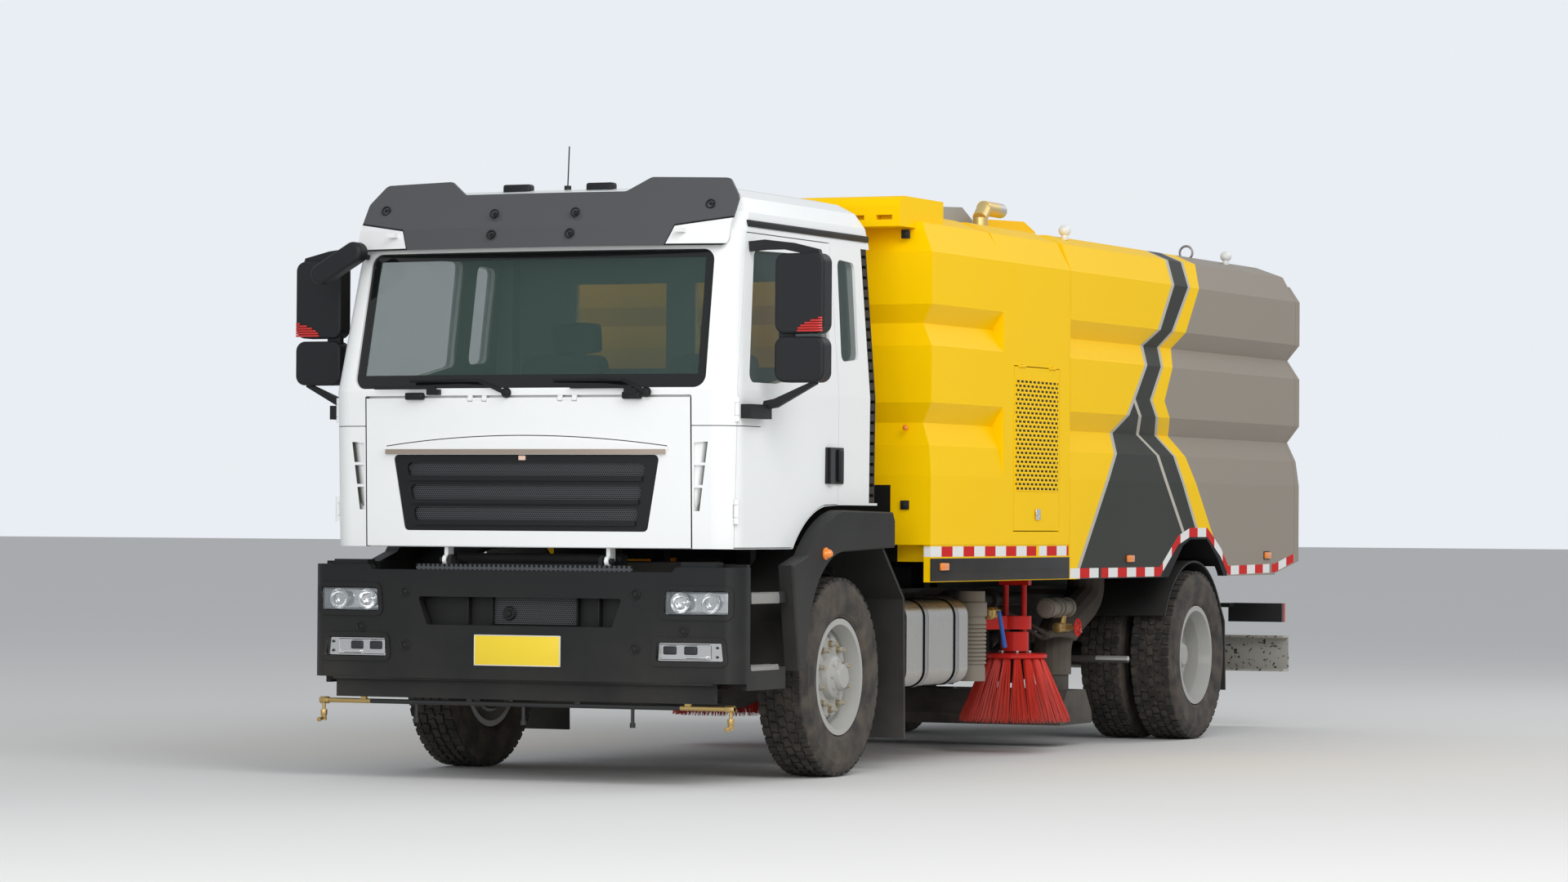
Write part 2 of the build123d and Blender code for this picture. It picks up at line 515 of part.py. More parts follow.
with BuildPart() as cab_shell:
    cab_form(0)
    with BuildSketch(side_plane(-HALF_CAB - 50)):
        with BuildLine():
            ThreePointArc(*at_front_axle(((-592, 1165), (-420, 1306), (-196, 1380))))
            Polyline(*at_front_axle(((-196, 1380), (-10, CAB_FLOOR_REAR), (CAB_REAR + 60, CAB_FLOOR_REAR),
                                     (CAB_REAR + 60, 1100), (-592, 1100), (-592, 1165))))
        make_face()
    extrude(amount=CAB_WIDTH + 100, mode=Mode.SUBTRACT)
    add(cab_cavity.part, mode=Mode.SUBTRACT)
    add(flap_recess.part, mode=Mode.SUBTRACT)
    add(corner_scoops.part, mode=Mode.SUBTRACT)
    front_prism(SCREEN_OUTLINE, SCREEN_CORNER, Mode.SUBTRACT)
    extrude(door_outline(), amount=SIDE_CUT, mode=Mode.SUBTRACT)
    extrude(side_window(QUARTER_WINDOW, WINDOW_CORNER), amount=SIDE_CUT, mode=Mode.SUBTRACT)
    mirror(about=Plane.YZ, mode=Mode.INTERSECT)
    for low, high in REAR_WINDOWS:
        box_between((low, high), (CAB_REAR - 150, CAB_REAR + 50), REAR_WINDOW_Z, mode=Mode.SUBTRACT)
    for sign in (1, -1):
        pocket = sorted((sign * (HALF_CAB - STRIP_WIDTH - 60), sign * (HALF_CAB + 50)))
        box_between(pocket, (CAB_REAR - STRIP_DEPTH, CAB_REAR + 50), STRIP_Z, mode=Mode.SUBTRACT)
        backing = sorted((sign * (HALF_CAB - STRIP_WIDTH - 100), sign * (HALF_CAB - STRIP_WIDTH - 60)))
        box_between(backing, (CAB_REAR - STRIP_DEPTH - 30, CAB_REAR - 20), STRIP_Z)
        closing = sorted((sign * (HALF_CAB - STRIP_WIDTH - 100), sign * (HALF_CAB - 70)))
        box_between(closing, (CAB_REAR - STRIP_DEPTH - 30, CAB_REAR - STRIP_DEPTH), STRIP_Z)
        lug = sorted((sign * (HALF_FRAME + 10), sign * (HALF_FRAME + 10 + LUG_THICKNESS)))
        box_between(lug, (CAB_PIVOT[0], CAB_PIVOT[0] + 60), (CAB_PIVOT[1], 1190))
        rod_along("x", (sign * (HALF_FRAME + 10 + LUG_THICKNESS / 2), *CAB_PIVOT), 25, LUG_THICKNESS)
        rod_along("x", (sign * (HALF_FRAME + 20), *CAB_PIVOT), PIN_RADIUS + SEAT_GAP, 60, Mode.SUBTRACT)
        for level in DOOR_HINGE_LEVELS:
            fixed_knuckles("z", (sign * DOOR_HINGE[0], DOOR_HINGE[1], level), *DOOR_KNUCKLE)
    for x in FLAP_HINGES:
        for side in (-1, 1):
            ear = x + side * (0.75 * FLAP_KNUCKLE[2] + KNUCKLE_GAP)
            box_between((ear - FLAP_KNUCKLE[2] / 4, ear + FLAP_KNUCKLE[2] / 4),
                        (FLAP_HINGE[0] - 6, FLAP_HINGE[0] + 8), (FLAP_HINGE[1], FLAP_TOP + FLAP_SEAM + 6))
        fixed_knuckles("x", (x, *FLAP_HINGE), *FLAP_KNUCKLE)
save(cab_shell.part, "cab_shell")

# Cab glass: windscreen, quarter lights and rear windows set in their openings
GLASS_GAP = 0.5

with BuildPart() as glass_front:
    cab_form(GLASS_INSET)
    front_prism(SCREEN_OUTLINE, SCREEN_CORNER, Mode.INTERSECT)
    cab_form(GLASS_INSET + GLASS_WALL, Mode.SUBTRACT)

with BuildPart() as glass_side:
    cab_form(GLASS_INSET)
    extrude(side_window(QUARTER_WINDOW, WINDOW_CORNER, -GLASS_GAP), amount=SIDE_CUT, mode=Mode.INTERSECT)
    cab_form(GLASS_INSET + GLASS_WALL, Mode.SUBTRACT)

with BuildPart() as cab_glass:
    add(glass_front.part)
    add(glass_side.part)
    mirror(glass_side.part, about=Plane.YZ)
    for low, high in REAR_WINDOWS:
        box_between((low + GLASS_GAP, high - GLASS_GAP), (CAB_REAR - 40, CAB_REAR - 32),
                    (REAR_WINDOW_Z[0] + GLASS_GAP, REAR_WINDOW_Z[1] - GLASS_GAP))
save(cab_glass.part, "cab_glass")

# Doors: the cab's own skin between the shut lines, with the window cut and its glass
HANDLE = ((-190, 0), (1495, 1680))

with BuildPart() as door:
    cab_form(0)
    extrude(door_outline(-SHUT_GAP), amount=SIDE_CUT, mode=Mode.INTERSECT)
    cab_form(CAB_WALL, Mode.SUBTRACT)
    extrude(side_window(DOOR_WINDOW, WINDOW_CORNER), amount=SIDE_CUT, mode=Mode.SUBTRACT)
    box_between((HALF_CAB - 20, HALF_CAB + 22), (HANDLE[0][0] + 10, HANDLE[0][0] + 60),
                (HANDLE[1][0], HANDLE[1][1]))
    for level in DOOR_HINGE_LEVELS:
        moving_knuckle("z", (*DOOR_HINGE, level), *DOOR_KNUCKLE)
save_pair(door.part, "door")

with BuildPart() as door_glass:
    cab_form(GLASS_INSET)
    extrude(side_window(DOOR_WINDOW, WINDOW_CORNER, -GLASS_GAP), amount=SIDE_CUT, mode=Mode.INTERSECT)
    cab_form(GLASS_INSET + GLASS_WALL, Mode.SUBTRACT)
save_pair(door_glass.part, "door_glass")

# Front flap with the radiator grille and the bright strip above it
GRILLE_OUTLINE = ((-673, 1247), (673, 1247), (739, 1625), (-739, 1625))
GRILLE_CORNER = 25
# Grille openings, columns (bottom, top, half width at the bottom, half width at the top)
GRILLE_SLOTS = ((1293, 1367, 612, 624), (1399, 1477, 630, 644), (1514, 1588, 650, 662))
GRILLE_SCOOP = 26
GRILLE_LIP = 18
STRIP_OUTLINE = ((-770, 1628), (770, 1628), (790, 1660), (420, 1696), (0, 1706), (-420, 1696), (-790, 1660))

with BuildPart() as bright_strip:
    cab_form(-14)
    front_prism(STRIP_OUTLINE, 0, Mode.INTERSECT)
    cab_form(6, Mode.SUBTRACT)

with BuildPart() as front_flap:
    cab_form(0)
    front_prism(((-FLAP_HALF, FLAP_BOTTOM), (FLAP_HALF, FLAP_BOTTOM), (FLAP_HALF, FLAP_TOP),
                 (-FLAP_HALF, FLAP_TOP)), 0, Mode.INTERSECT)
    cab_form(FLAP_WALL, Mode.SUBTRACT, open_below=True)
    front_prism(GRILLE_OUTLINE, GRILLE_CORNER, Mode.SUBTRACT)
    for x in FLAP_HINGES:
        box_between((x - FLAP_KNUCKLE[2] - KNUCKLE_GAP - 2, x + FLAP_KNUCKLE[2] + KNUCKLE_GAP + 2),
                    (-1420, -1300), (FLAP_HINGE[1] - FLAP_KNUCKLE[0] - KNUCKLE_GAP, FLAP_TOP + 2), Mode.SUBTRACT)
        box_between((x - FLAP_KNUCKLE[2] / 2, x + FLAP_KNUCKLE[2] / 2), (FLAP_HINGE[0] - 7, FLAP_HINGE[0] + 9),
                    (FLAP_HINGE[1] - FLAP_KNUCKLE[0] - 10, FLAP_HINGE[1]))
        moving_knuckle("x", (x, *FLAP_HINGE), *FLAP_KNUCKLE)
    add(bright_strip.part)
save(front_flap.part, "front_flap")

with BuildPart() as grille_lips:
    for low, high, half, half_top in GRILLE_SLOTS:
        front_prism(((-half, low - GRILLE_LIP), (half, low - GRILLE_LIP), (half, low + 4), (-half, low + 4)), 0,
                    Mode.ADD)
    cab_form(-8, Mode.INTERSECT)
    cab_form(10, Mode.SUBTRACT)

with BuildPart() as grille:
    cab_form(6)
    front_prism(GRILLE_OUTLINE, GRILLE_CORNER, Mode.INTERSECT)
    cab_form(FLAP_WALL, Mode.SUBTRACT)
    for low, high, half, half_top in GRILLE_SLOTS:
        front_prism(((-half, low), (half, low), (half_top, high), (-half_top, high)), GRILLE_SCOOP, Mode.SUBTRACT)
    add(grille_lips.part)
save(grille.part, "grille")

# Sun visor: three bowed level strips lofted, cut to its front outline
VISOR_HALF = 1035
VISOR_WALL = 18
VISOR_CORNER = 40
VISOR_LEVELS = ((2655, -1335, -1215), (2760, -1305, -1185), (3010, -1120, -1010))
VISOR_OUTLINE = ((-1035, 2655), (1035, 2655), (1035, 2900), (960, 3000), (560, 3008), (450, 2935),
                 (-450, 2935), (-560, 3008), (-960, 3000), (-1035, 2900))

with BuildPart() as visor:
    strips = []
    for height, middle, end in VISOR_LEVELS:
        nose = FRONT_AXLE_Y + middle
        tip = FRONT_AXLE_Y + end
        with BuildSketch(Plane.XY.offset(height)) as strip:
            with BuildLine():
                ThreePointArc((-VISOR_HALF, tip), (0, nose), (VISOR_HALF, tip))
                Line((VISOR_HALF, tip), (VISOR_HALF, tip + VISOR_WALL))
                ThreePointArc((VISOR_HALF, tip + VISOR_WALL), (0, nose + VISOR_WALL),
                              (-VISOR_HALF, tip + VISOR_WALL))
                Line((-VISOR_HALF, tip + VISOR_WALL), (-VISOR_HALF, tip))
            make_face()
        strips.append(strip.sketch)
    loft(strips, ruled=True)
    front_prism(VISOR_OUTLINE, VISOR_CORNER, Mode.INTERSECT)
    for sign in (1, -1):
        for x in (300, 800):
            arm = sorted((sign * x - 20, sign * x + 20))
            box_between(arm, (-1290, -1220), (2720, 2740))
    cab_form(-SEAT_GAP, Mode.SUBTRACT)
save(visor.part, "visor")

# Mirrors: main and wide-angle heads on door brackets, kerb mirror at the right pillar
MIRROR_X = (1215, 1480)
MIRROR_Y = (-1060, -960)
MIRROR_HEADS = ((2225, 2620), (1985, 2210))
BRACKET_Z = (1805, 1875)

MIRROR_LOW_ARM = ((1135, 1850), (1150, 1895), (1205, 1905), (1420, 1995), (1430, 1978), (1215, 1862))
MIRROR_TOP_ARM = ((1030, 2630), (1030, 2680), (1150, 2690), (1300, 2672), (1440, 2638), (1450, 2608),
                  (1400, 2608), (1250, 2640), (1150, 2640))

with BuildPart() as mirror_arm:
    for low, high in MIRROR_HEADS:
        box_between(MIRROR_X, MIRROR_Y, (low, high))
    fillet(mirror_arm.edges().filter_by(Axis.Y), 50)
    fillet(mirror_arm.faces().group_by(Axis.Y)[0].edges(), 14)
    box_between((HALF_CAB + SEAT_GAP, HALF_CAB + 55), (-1235, -990), BRACKET_Z)
    box_between((MIRROR_X[0] + 15, MIRROR_X[0] + 90), (-1035, -1000), (MIRROR_HEADS[1][1] - 20, MIRROR_HEADS[0][0] + 20))
    for arm in (MIRROR_LOW_ARM, MIRROR_TOP_ARM):
        with BuildSketch(front_plane(-1000)) as bow:
            with BuildLine():
                Polyline(*arm, close=True)
            make_face()
        extrude(bow.sketch, amount=34)
    cab_form(-SEAT_GAP, Mode.SUBTRACT)
save_pair(mirror_arm.part, "mirror")

KERB_OVAL = (215, 105)
with BuildPart() as kerb_mirror:
    with BuildSketch(front_plane(-1320)) as oval:
        with Locations(Location((-1061, 2590), 30)):
            SlotCenterToCenter(*KERB_OVAL)
    extrude(amount=80)
    fillet(kerb_mirror.faces().sort_by(Axis.Y)[0].edges(), 22)
    box_between((-1000, -975), (-1345, -1150), (2615, 2640))
    cab_form(-SEAT_GAP, Mode.SUBTRACT)
    add(visor.part, mode=Mode.SUBTRACT)
save(kerb_mirror.part, "kerb_mirror")

# Wipers, dashboard with steering wheel, seats and the ribbed panels at the cab's rear corners
with BuildPart() as wipers:
    for pivot in (604, -490):
        box_between((pivot - 35, pivot + 35), (-1415, -1330), (1922, 1950))
        box_between((pivot - 330, pivot), (-1414, -1404), (1950, 1966))
        box_between((pivot - 12, pivot + 12), (-1414, -1396), (1946, 1966))
    cab_form(-SEAT_GAP, Mode.SUBTRACT)
save(wipers.part, "wipers")

DASH_HALF = 1010
STEERING = (430, -820, 1880)
STEERING_RADIUS = 225
STEERING_RAKE = -35
steering_plane = Plane(origin=(STEERING[0], FRONT_AXLE_Y + STEERING[1], STEERING[2]), x_dir=(1, 0, 0),
                       z_dir=Vector(0, -1, 0).rotate(Axis.X, STEERING_RAKE))

with BuildPart() as dashboard:
    with BuildSketch(side_plane(-DASH_HALF)):
        with BuildLine():
            Polyline(*at_front_axle(((-1380, 1500), (-1380, 1925), (-1180, 1935), (-960, 1920), (-880, 1780),
                                     (-960, 1500))), close=True)
        make_face()
    extrude(amount=2 * DASH_HALF)
    cab_form(CAB_WALL + SEAT_GAP, Mode.INTERSECT)
    with BuildSketch(steering_plane) as grip:
        with Locations((STEERING_RADIUS, 0)):
            RegularPolygon(17, 6)
    revolve(grip.sketch, axis=Axis(steering_plane.origin, steering_plane.y_dir))
    with Locations(Location((STEERING[0], FRONT_AXLE_Y + STEERING[1], STEERING[2]), (STEERING_RAKE, 0, 0))):
        Box(2 * STEERING_RADIUS, 45, 16)
        with Locations((0, 0, -120)):
            Cylinder(35, 260)
save(dashboard.part, "dashboard")

SEAT_X = (430, -430)
SEAT_HALF = 255
with BuildPart() as seats:
    for x in SEAT_X:
        with BuildSketch(side_plane(x - SEAT_HALF)) as seat:
            with BuildLine():
                Polyline(*at_front_axle(((-540, 1560), (60, 1560), (150, 2330), (30, 2340), (-50, 1720),
                                         (-540, 1700))), close=True)
            make_face()
            fillet(seat.vertices(), 35)
        extrude(amount=2 * SEAT_HALF)
        box_between((x - 180, x + 180), (-430, -60), (1440 + SEAT_GAP, 1570))
save(seats.part, "seats")

PANEL_WALL = 24
PANEL_SLOTS = 24
with BuildPart() as corner_panel:
    cab_form(4)
    box_between((HALF_CAB - STRIP_WIDTH - 55, HALF_CAB + 20), (CAB_REAR - STRIP_DEPTH + SEAT_GAP, CAB_REAR - 30),
                (STRIP_Z[0] + SEAT_GAP, STRIP_Z[1] - SEAT_GAP), Mode.INTERSECT)
    cab_form(4 + PANEL_WALL, Mode.SUBTRACT)
    for slot in range(PANEL_SLOTS):
        level = STRIP_Z[0] + 40 + slot * (STRIP_Z[1] - STRIP_Z[0] - 80) / (PANEL_SLOTS - 1)
        box_between((HALF_CAB - 200, HALF_CAB + 20), (CAB_REAR - 95, CAB_REAR - 40), (level - 8, level + 8),
                    mode=Mode.SUBTRACT)

with BuildPart() as corner_panels:
    add(corner_panel.part)
    mirror(corner_panel.part, about=Plane.YZ)
save(corner_panels.part, "cab_corner_panels")

# Front bumper: bowed shell with a grille slot and lamp pockets, apron below, blank number plate
BUMPER_HALF = 1190
BUMPER_Z = (510, 1075)
BUMPER_REAR = -1262
BUMPER_WALL = 45
BUMPER_BOW = 40
BUMPER_CORNER = 90
LAMP_POCKETS = (((790, 842), (1128, 842), (1128, 960), (800, 960)),
                ((745, 615), (1105, 615), (1095, 710), (752, 710)))
AIR_SLOT = ((-513, 777), (513, 777), (565, 918), (-565, 918))
APRON_HALF = 1050
APRON_Z = (410, 512)
PLATE_HALF = 235
PLATE_Z = (582, 729)


def bumper_form(inset, low, high, mode=Mode.ADD):
    """Bumper outline in plan moved inwards by inset, between two heights, open to the rear."""
    side = BUMPER_HALF - inset
    nose = FRONT_AXLE_Y - FRONT_OVERHANG + inset
    back = FRONT_AXLE_Y + BUMPER_REAR + (1 if inset > 0 else 0)
    with BuildSketch(Plane.XY.offset(low)) as plan:
        with BuildLine():
            ThreePointArc((-side, nose + BUMPER_BOW), (0, nose), (side, nose + BUMPER_BOW))
            Polyline((side, nose + BUMPER_BOW), (side, back), (-side, back), (-side, nose + BUMPER_BOW))
        make_face()
        fillet(plan.vertices().group_by(Axis.Y)[0], BUMPER_CORNER - inset)
    extrude(plan.sketch, amount=high - low, mode=mode)


def bumper_cut(points, mode, grow=0.0, corner=12):
    with BuildSketch(front_plane(-1200)) as outline:
        with BuildLine():
            Polyline(*points, close=True)
        make_face()
        fillet(outline.vertices(), corner)
        if grow:
            offset(amount=grow)
    extrude(outline.sketch, amount=400, mode=mode)


def mirrored(points):
    return [(-x, height) for x, height in points]


SLOT_TRAY = (765, 934)
TOP_DIP = ((-830, 1050), (830, 1050), (862, 1090), (-862, 1090))
TOP_OPEN = 600

with BuildPart() as bezels:
    for pocket in LAMP_POCKETS:
        bumper_cut(pocket, Mode.ADD, 24)
        bumper_cut(pocket, Mode.SUBTRACT)
    mirror(about=Plane.YZ)
    bumper_form(-6, *BUMPER_Z, Mode.INTERSECT)
    bumper_form(12, BUMPER_Z[0] - 10, BUMPER_Z[1] + 10, Mode.SUBTRACT)

with BuildPart() as front_bumper:
    bumper_form(0, *BUMPER_Z)
    bumper_form(BUMPER_WALL, BUMPER_Z[0] - 10, BUMPER_Z[1] + 10, Mode.SUBTRACT)
    bumper_cut(AIR_SLOT, Mode.SUBTRACT)
    for pocket in LAMP_POCKETS:
        bumper_cut(pocket, Mode.SUBTRACT)
        bumper_cut(mirrored(pocket), Mode.SUBTRACT)
    box_between((-575, 575), (-1332, -1320), (SLOT_TRAY[0], SLOT_TRAY[1]))
    for level in (SLOT_TRAY[0], SLOT_TRAY[1] - 12):
        box_between((-560, 560), (-1392, -1325), (level, level + 12))
    bumper_cut(TOP_DIP, Mode.SUBTRACT)
    bumper_form(BUMPER_WALL - 10, BUMPER_Z[1] - 40, BUMPER_Z[1] - 25)
    box_between((-TOP_OPEN, TOP_OPEN), (-1500 + BUMPER_WALL + 83, -1200), (BUMPER_Z[1] - 41, BUMPER_Z[1] - 20),
                Mode.SUBTRACT)
    for sign in (1, -1):
        cap = sorted((sign * 870, sign * 1060))
        box_between(cap, (-1378, -1300), (BUMPER_Z[1] - 35, BUMPER_Z[1] + 25))
    add(bezels.part)
    box_between((-PLATE_HALF, PLATE_HALF), (-FRONT_OVERHANG, -FRONT_OVERHANG + 20), PLATE_Z)
    box_between((-APRON_HALF, APRON_HALF), (-1365, -1335), APRON_Z)
    box_between((-APRON_HALF, APRON_HALF), (-1400, -1335), (APRON_Z[1] - 12, APRON_Z[1]))
    for sign in (1, -1):
        mount = sorted((sign * (HALF_FRAME - RAIL_FLANGE), sign * (HALF_FRAME - RAIL_WALL)))
        box_between(mount, (-1385, RAIL_FRONT - SEAT_GAP), (FRAME_BOTTOM + 20, FRAME_BOTTOM + 90))
save(front_bumper.part, "front_bumper")

lamp_solids = []
for pocket in LAMP_POCKETS:
    with BuildPart() as lamp:
        bumper_form(6, *BUMPER_Z)
        bumper_form(BUMPER_WALL - 5, BUMPER_Z[0] - 10, BUMPER_Z[1] + 10, Mode.SUBTRACT)
        bumper_cut(pocket, Mode.INTERSECT, -SEAT_GAP)
    lamp_solids.append(lamp.part)

with BuildPart() as front_lamps:
    for solid in lamp_solids:
        add(solid)
        mirror(solid, about=Plane.YZ)
save(front_lamps.part, "front_lamps")

# Front spray bar under the apron with drop nozzles at its ends
SPRAY_Z = 388
SPRAY_RADIUS = 12
SPRAY_HALF = 1150
with BuildPart() as spray_bar:
    rod_along("x", (0, -1350, SPRAY_Z), SPRAY_RADIUS, 2 * SPRAY_HALF)
    for x in (-SPRAY_HALF + 20, -600, 0, 600, SPRAY_HALF - 20):
        rod_along("z", (x, -1350, SPRAY_Z - 45), 9, 90)
        rod_along("z", (x, -1350, SPRAY_Z - 90), 14, 24)
    for x in (-900, -300, 300, 900):
        box_between((x - 15, x + 15), (-1358, -1342), (SPRAY_Z + 4, APRON_Z[0] - SEAT_GAP))
save(spray_bar.part, "front_spray_bar")

# Front mudguards: side flare, arched liner and the flap behind the wheel
FLARE_X = (1125, 1205)
FLARE_WALL = 16
LINER_X = 800
FLAP_Y = 745
FLAP_LOW = 170

with BuildPart() as mudguard:
    with BuildSketch(side_plane(FLARE_X[0])) as flare:
        with BuildLine():
            Polyline(*at_front_axle(((520, 1170), (520, 1310), (490, 1355), (-150, 1362))))
            ThreePointArc(*at_front_axle(((-150, 1362), (-440, 1262), (-600, 1135))))
            Polyline(*at_front_axle(((-600, 1135), (-790, 1085), (-700, 560), (-625, 560), (-570, 800))))
            ThreePointArc(*at_front_axle(((-570, 800), (-420, 1040), (-150, 1150))))
            Line(*at_front_axle(((-150, 1150), (520, 1170))))
        make_face()
    extrude(amount=FLARE_X[1] - FLARE_X[0])
    fillet(mudguard.edges().group_by(Axis.X)[-1], 12)
    with BuildSketch(side_plane(LINER_X)) as liner:
        with BuildLine():
            Polyline(*at_front_axle(((-625, 560), (-570, 800))))
            ThreePointArc(*at_front_axle(((-570, 800), (-420, 1040), (-150, 1150))))
            Polyline(*at_front_axle(((-150, 1150), (430, 1165), (FLAP_Y - 25, 900), (FLAP_Y - 5, FLAP_LOW),
                                     (FLAP_Y + 15, FLAP_LOW), (FLAP_Y - 5, 905), (440, 1185),
                                     (-160, 1168))))
            ThreePointArc(*at_front_axle(((-160, 1168), (-435, 1053), (-588, 805))))
            Polyline(*at_front_axle(((-588, 805), (-643, 560), (-625, 560))))
        make_face()
    extrude(amount=FLARE_X[1] - LINER_X - 40)
    rod_along("x", ((HALF_FRAME + LINER_X) / 2 + 20, 560, 1050), 22, LINER_X - HALF_FRAME + 40 - 2 * SEAT_GAP)
    box_between((HALF_FRAME + SEAT_GAP, HALF_FRAME + 12), (520, 600), (850, 1080))
with BuildPart() as front_mudguards:
    add(mudguard.part)
    mirror(mudguard.part, about=Plane.YZ)
save(front_mudguards.part, "front_mudguards")

# Cab steps: side boxes with two treads, hung from the rails
STEP_X = (870, 1170)
STEP_Y = (-1258, -795)
STEP_TREADS = ((900, 956), (535, 585))
with BuildPart() as step:
    box_between((STEP_X[0], STEP_X[0] + 25), STEP_Y, (490, 1090))
    box_between(STEP_X, (STEP_Y[0], STEP_Y[0] + 30), (490, 1090))
    for low, high in STEP_TREADS:
        box_between(STEP_X, STEP_Y, (low, high))
    box_between((STEP_X[1] - 25, STEP_X[1]), STEP_Y, (475, STEP_TREADS[1][0] + 10))
    box_between((STEP_X[0], STEP_X[0] + 80), STEP_Y, (735, 750))
    box_between((HALF_FRAME + SEAT_GAP, STEP_X[0] + 10), (-1150, -1090), (780, 840))
    box_between((HALF_FRAME + SEAT_GAP, STEP_X[0] + 10), (-880, -820), (780, 840))
with BuildPart() as cab_steps:
    add(step.part)
    mirror(step.part, about=Plane.YZ)
save(cab_steps.part, "cab_steps")

# Fuel tank on the left with two straps and frame brackets; battery box ahead of it
TANK_X = (520, 1120)
TANK_Y = (880, 1740)
TANK_Z = (430, 885)
TANK_CORNER = 90
STRAP_Y = (1142, 1570)
with BuildPart() as fuel_tank:
    box_between(TANK_X, TANK_Y, TANK_Z)
    fillet(fuel_tank.edges().filter_by(Axis.Y), TANK_CORNER)
    for along in STRAP_Y:
        with BuildSketch(front_plane(along + 25)) as strap:
            with Locations(((TANK_X[0] + TANK_X[1]) / 2, (TANK_Z[0] + TANK_Z[1]) / 2)):
                RectangleRounded(TANK_X[1] - TANK_X[0] + 12, TANK_Z[1] - TANK_Z[0] + 12, TANK_CORNER + 6)
        extrude(amount=50)
        box_between((HALF_FRAME + SEAT_GAP, TANK_X[0] + 60), (along - 25, along + 25), (480, 900))
    rod_along("y", (1010, TANK_Y[0] - 5, 800), 40, 46)
save(fuel_tank.part, "fuel_tank")

with BuildPart() as battery_box:
    box_between((520, 1060), (772, 840), (420, 900))
    box_between((HALF_FRAME + SEAT_GAP, 540), (780, 845), (700, 800))
    box_between((-1080, -520), (1250, 1750), (450, 880))
    fillet(battery_box.edges().filter_by(Axis.Y).group_by(Axis.X)[0], 30)
    box_between((-540, -HALF_FRAME - SEAT_GAP), (1400, 1600), (700, 800))
save(battery_box.part, "battery_boxes")

# Exhaust silencer and air tanks on the right
with BuildPart() as silencer:
    box_between((-1060, -500), (800, 1180), (440, 900))
    fillet(silencer.edges().filter_by(Axis.Z), 60)
    box_between((-560, -HALF_FRAME - SEAT_GAP), (900, 1080), (700, 800))
    rod_along("y", (-700, 1210, 560), 50, 80)
save(silencer.part, "exhaust_silencer")

with BuildPart() as air_tanks:
    for height in (560, 800):
        rod_along("y", (-620, 2010, height), 110, 440)
    chamfer(air_tanks.edges().filter_by(GeomType.CIRCLE), 20, 45)
    for along in (1880, 2120):
        box_between((-560, -HALF_FRAME - SEAT_GAP), (along, along + 30), (680, 900))
        box_between((-640, -600), (along, along + 30), (560, 900))
save(air_tanks.part, "air_tanks")

# Rear mudguards: arched band over each pair of twin tyres, with the flap behind
GUARD_RADIUS = 560
GUARD_WALL = 12
GUARD_X = (615, 1200)
with BuildPart() as guard:
    with BuildSketch(side_plane(GUARD_X[0])) as band:
        with BuildLine():
            ThreePointArc(*at_rear_axle(((-500, 750), (0, TYRE_RADIUS + GUARD_RADIUS), (470, 830))))
            Polyline(*at_rear_axle(((470, 830), (575, 700), (595, 280), (610, 280), (590, 705), (482, 838))))
            ThreePointArc(*at_rear_axle(((482, 838), (0, TYRE_RADIUS + GUARD_RADIUS + GUARD_WALL),
                                         (-512, 756))))
            Line(*at_rear_axle(((-512, 756), (-500, 750))))
        make_face()
    extrude(amount=GUARD_X[1] - GUARD_X[0])
    for along in (-520, 560):
        box_between((HALF_FRAME + SEAT_GAP, GUARD_X[0] + 60), (WHEELBASE + along, WHEELBASE + along + 40),
                    (740, 790))
with BuildPart() as rear_mudguards:
    add(guard.part)
    mirror(guard.part, about=Plane.YZ)
save(rear_mudguards.part, "rear_mudguards")

# Rear underrun beam on two drop brackets, and the tail lamp boxes above it
REAR_END = OVERALL_LENGTH - FRONT_OVERHANG
BEAM_HALF = 1150
UNDERRUN_Z = (360, 590)
with BuildPart() as rear_underrun:
    with BuildSketch(side_plane(-BEAM_HALF)) as channel:
        with BuildLine():
            Polyline(*at_front_axle(((REAR_END, UNDERRUN_Z[0]), (REAR_END, UNDERRUN_Z[1]),
                                     (REAR_END - 110, UNDERRUN_Z[1]), (REAR_END - 110, UNDERRUN_Z[1] - 15),
                                     (REAR_END - 15, UNDERRUN_Z[1] - 15), (REAR_END - 15, UNDERRUN_Z[0] + 15),
                                     (REAR_END - 110, UNDERRUN_Z[0] + 15), (REAR_END - 110, UNDERRUN_Z[0]))),
                     close=True)
        make_face()
    extrude(amount=2 * BEAM_HALF)
    for sign in (1, -1):
        plate = sorted((sign * (HALF_FRAME + SEAT_GAP), sign * (HALF_FRAME + 16)))
        with BuildSketch(side_plane(plate[0])) as drop:
            with BuildLine():
                Polyline(*at_front_axle(((6500, FRAME_BOTTOM + 10), (6780, FRAME_BOTTOM + 100),
                                         (6900, FRAME_BOTTOM + 100), (REAR_END - 20, UNDERRUN_Z[1] - 10),
                                         (REAR_END - 20, UNDERRUN_Z[0] + 10), (REAR_END - 110, UNDERRUN_Z[0] + 10))),
                         close=True)
            make_face()
        extrude(amount=plate[1] - plate[0])
save(rear_underrun.part, "rear_underrun")

with BuildPart() as tail_lamps:
    for sign in (1, -1):
        box = sorted((sign * 820, sign * 1180))
        box_between(box, (6960, 7030), (680, 800))
        arm = sorted((sign * (HALF_FRAME + SEAT_GAP), sign * 840))
        box_between(arm, (6870, 6920), (772, 800))
        bend = sorted((sign * 820, sign * 860))
        box_between(bend, (6870, 6970), (772, 800))
save(tail_lamps.part, "tail_lamps")

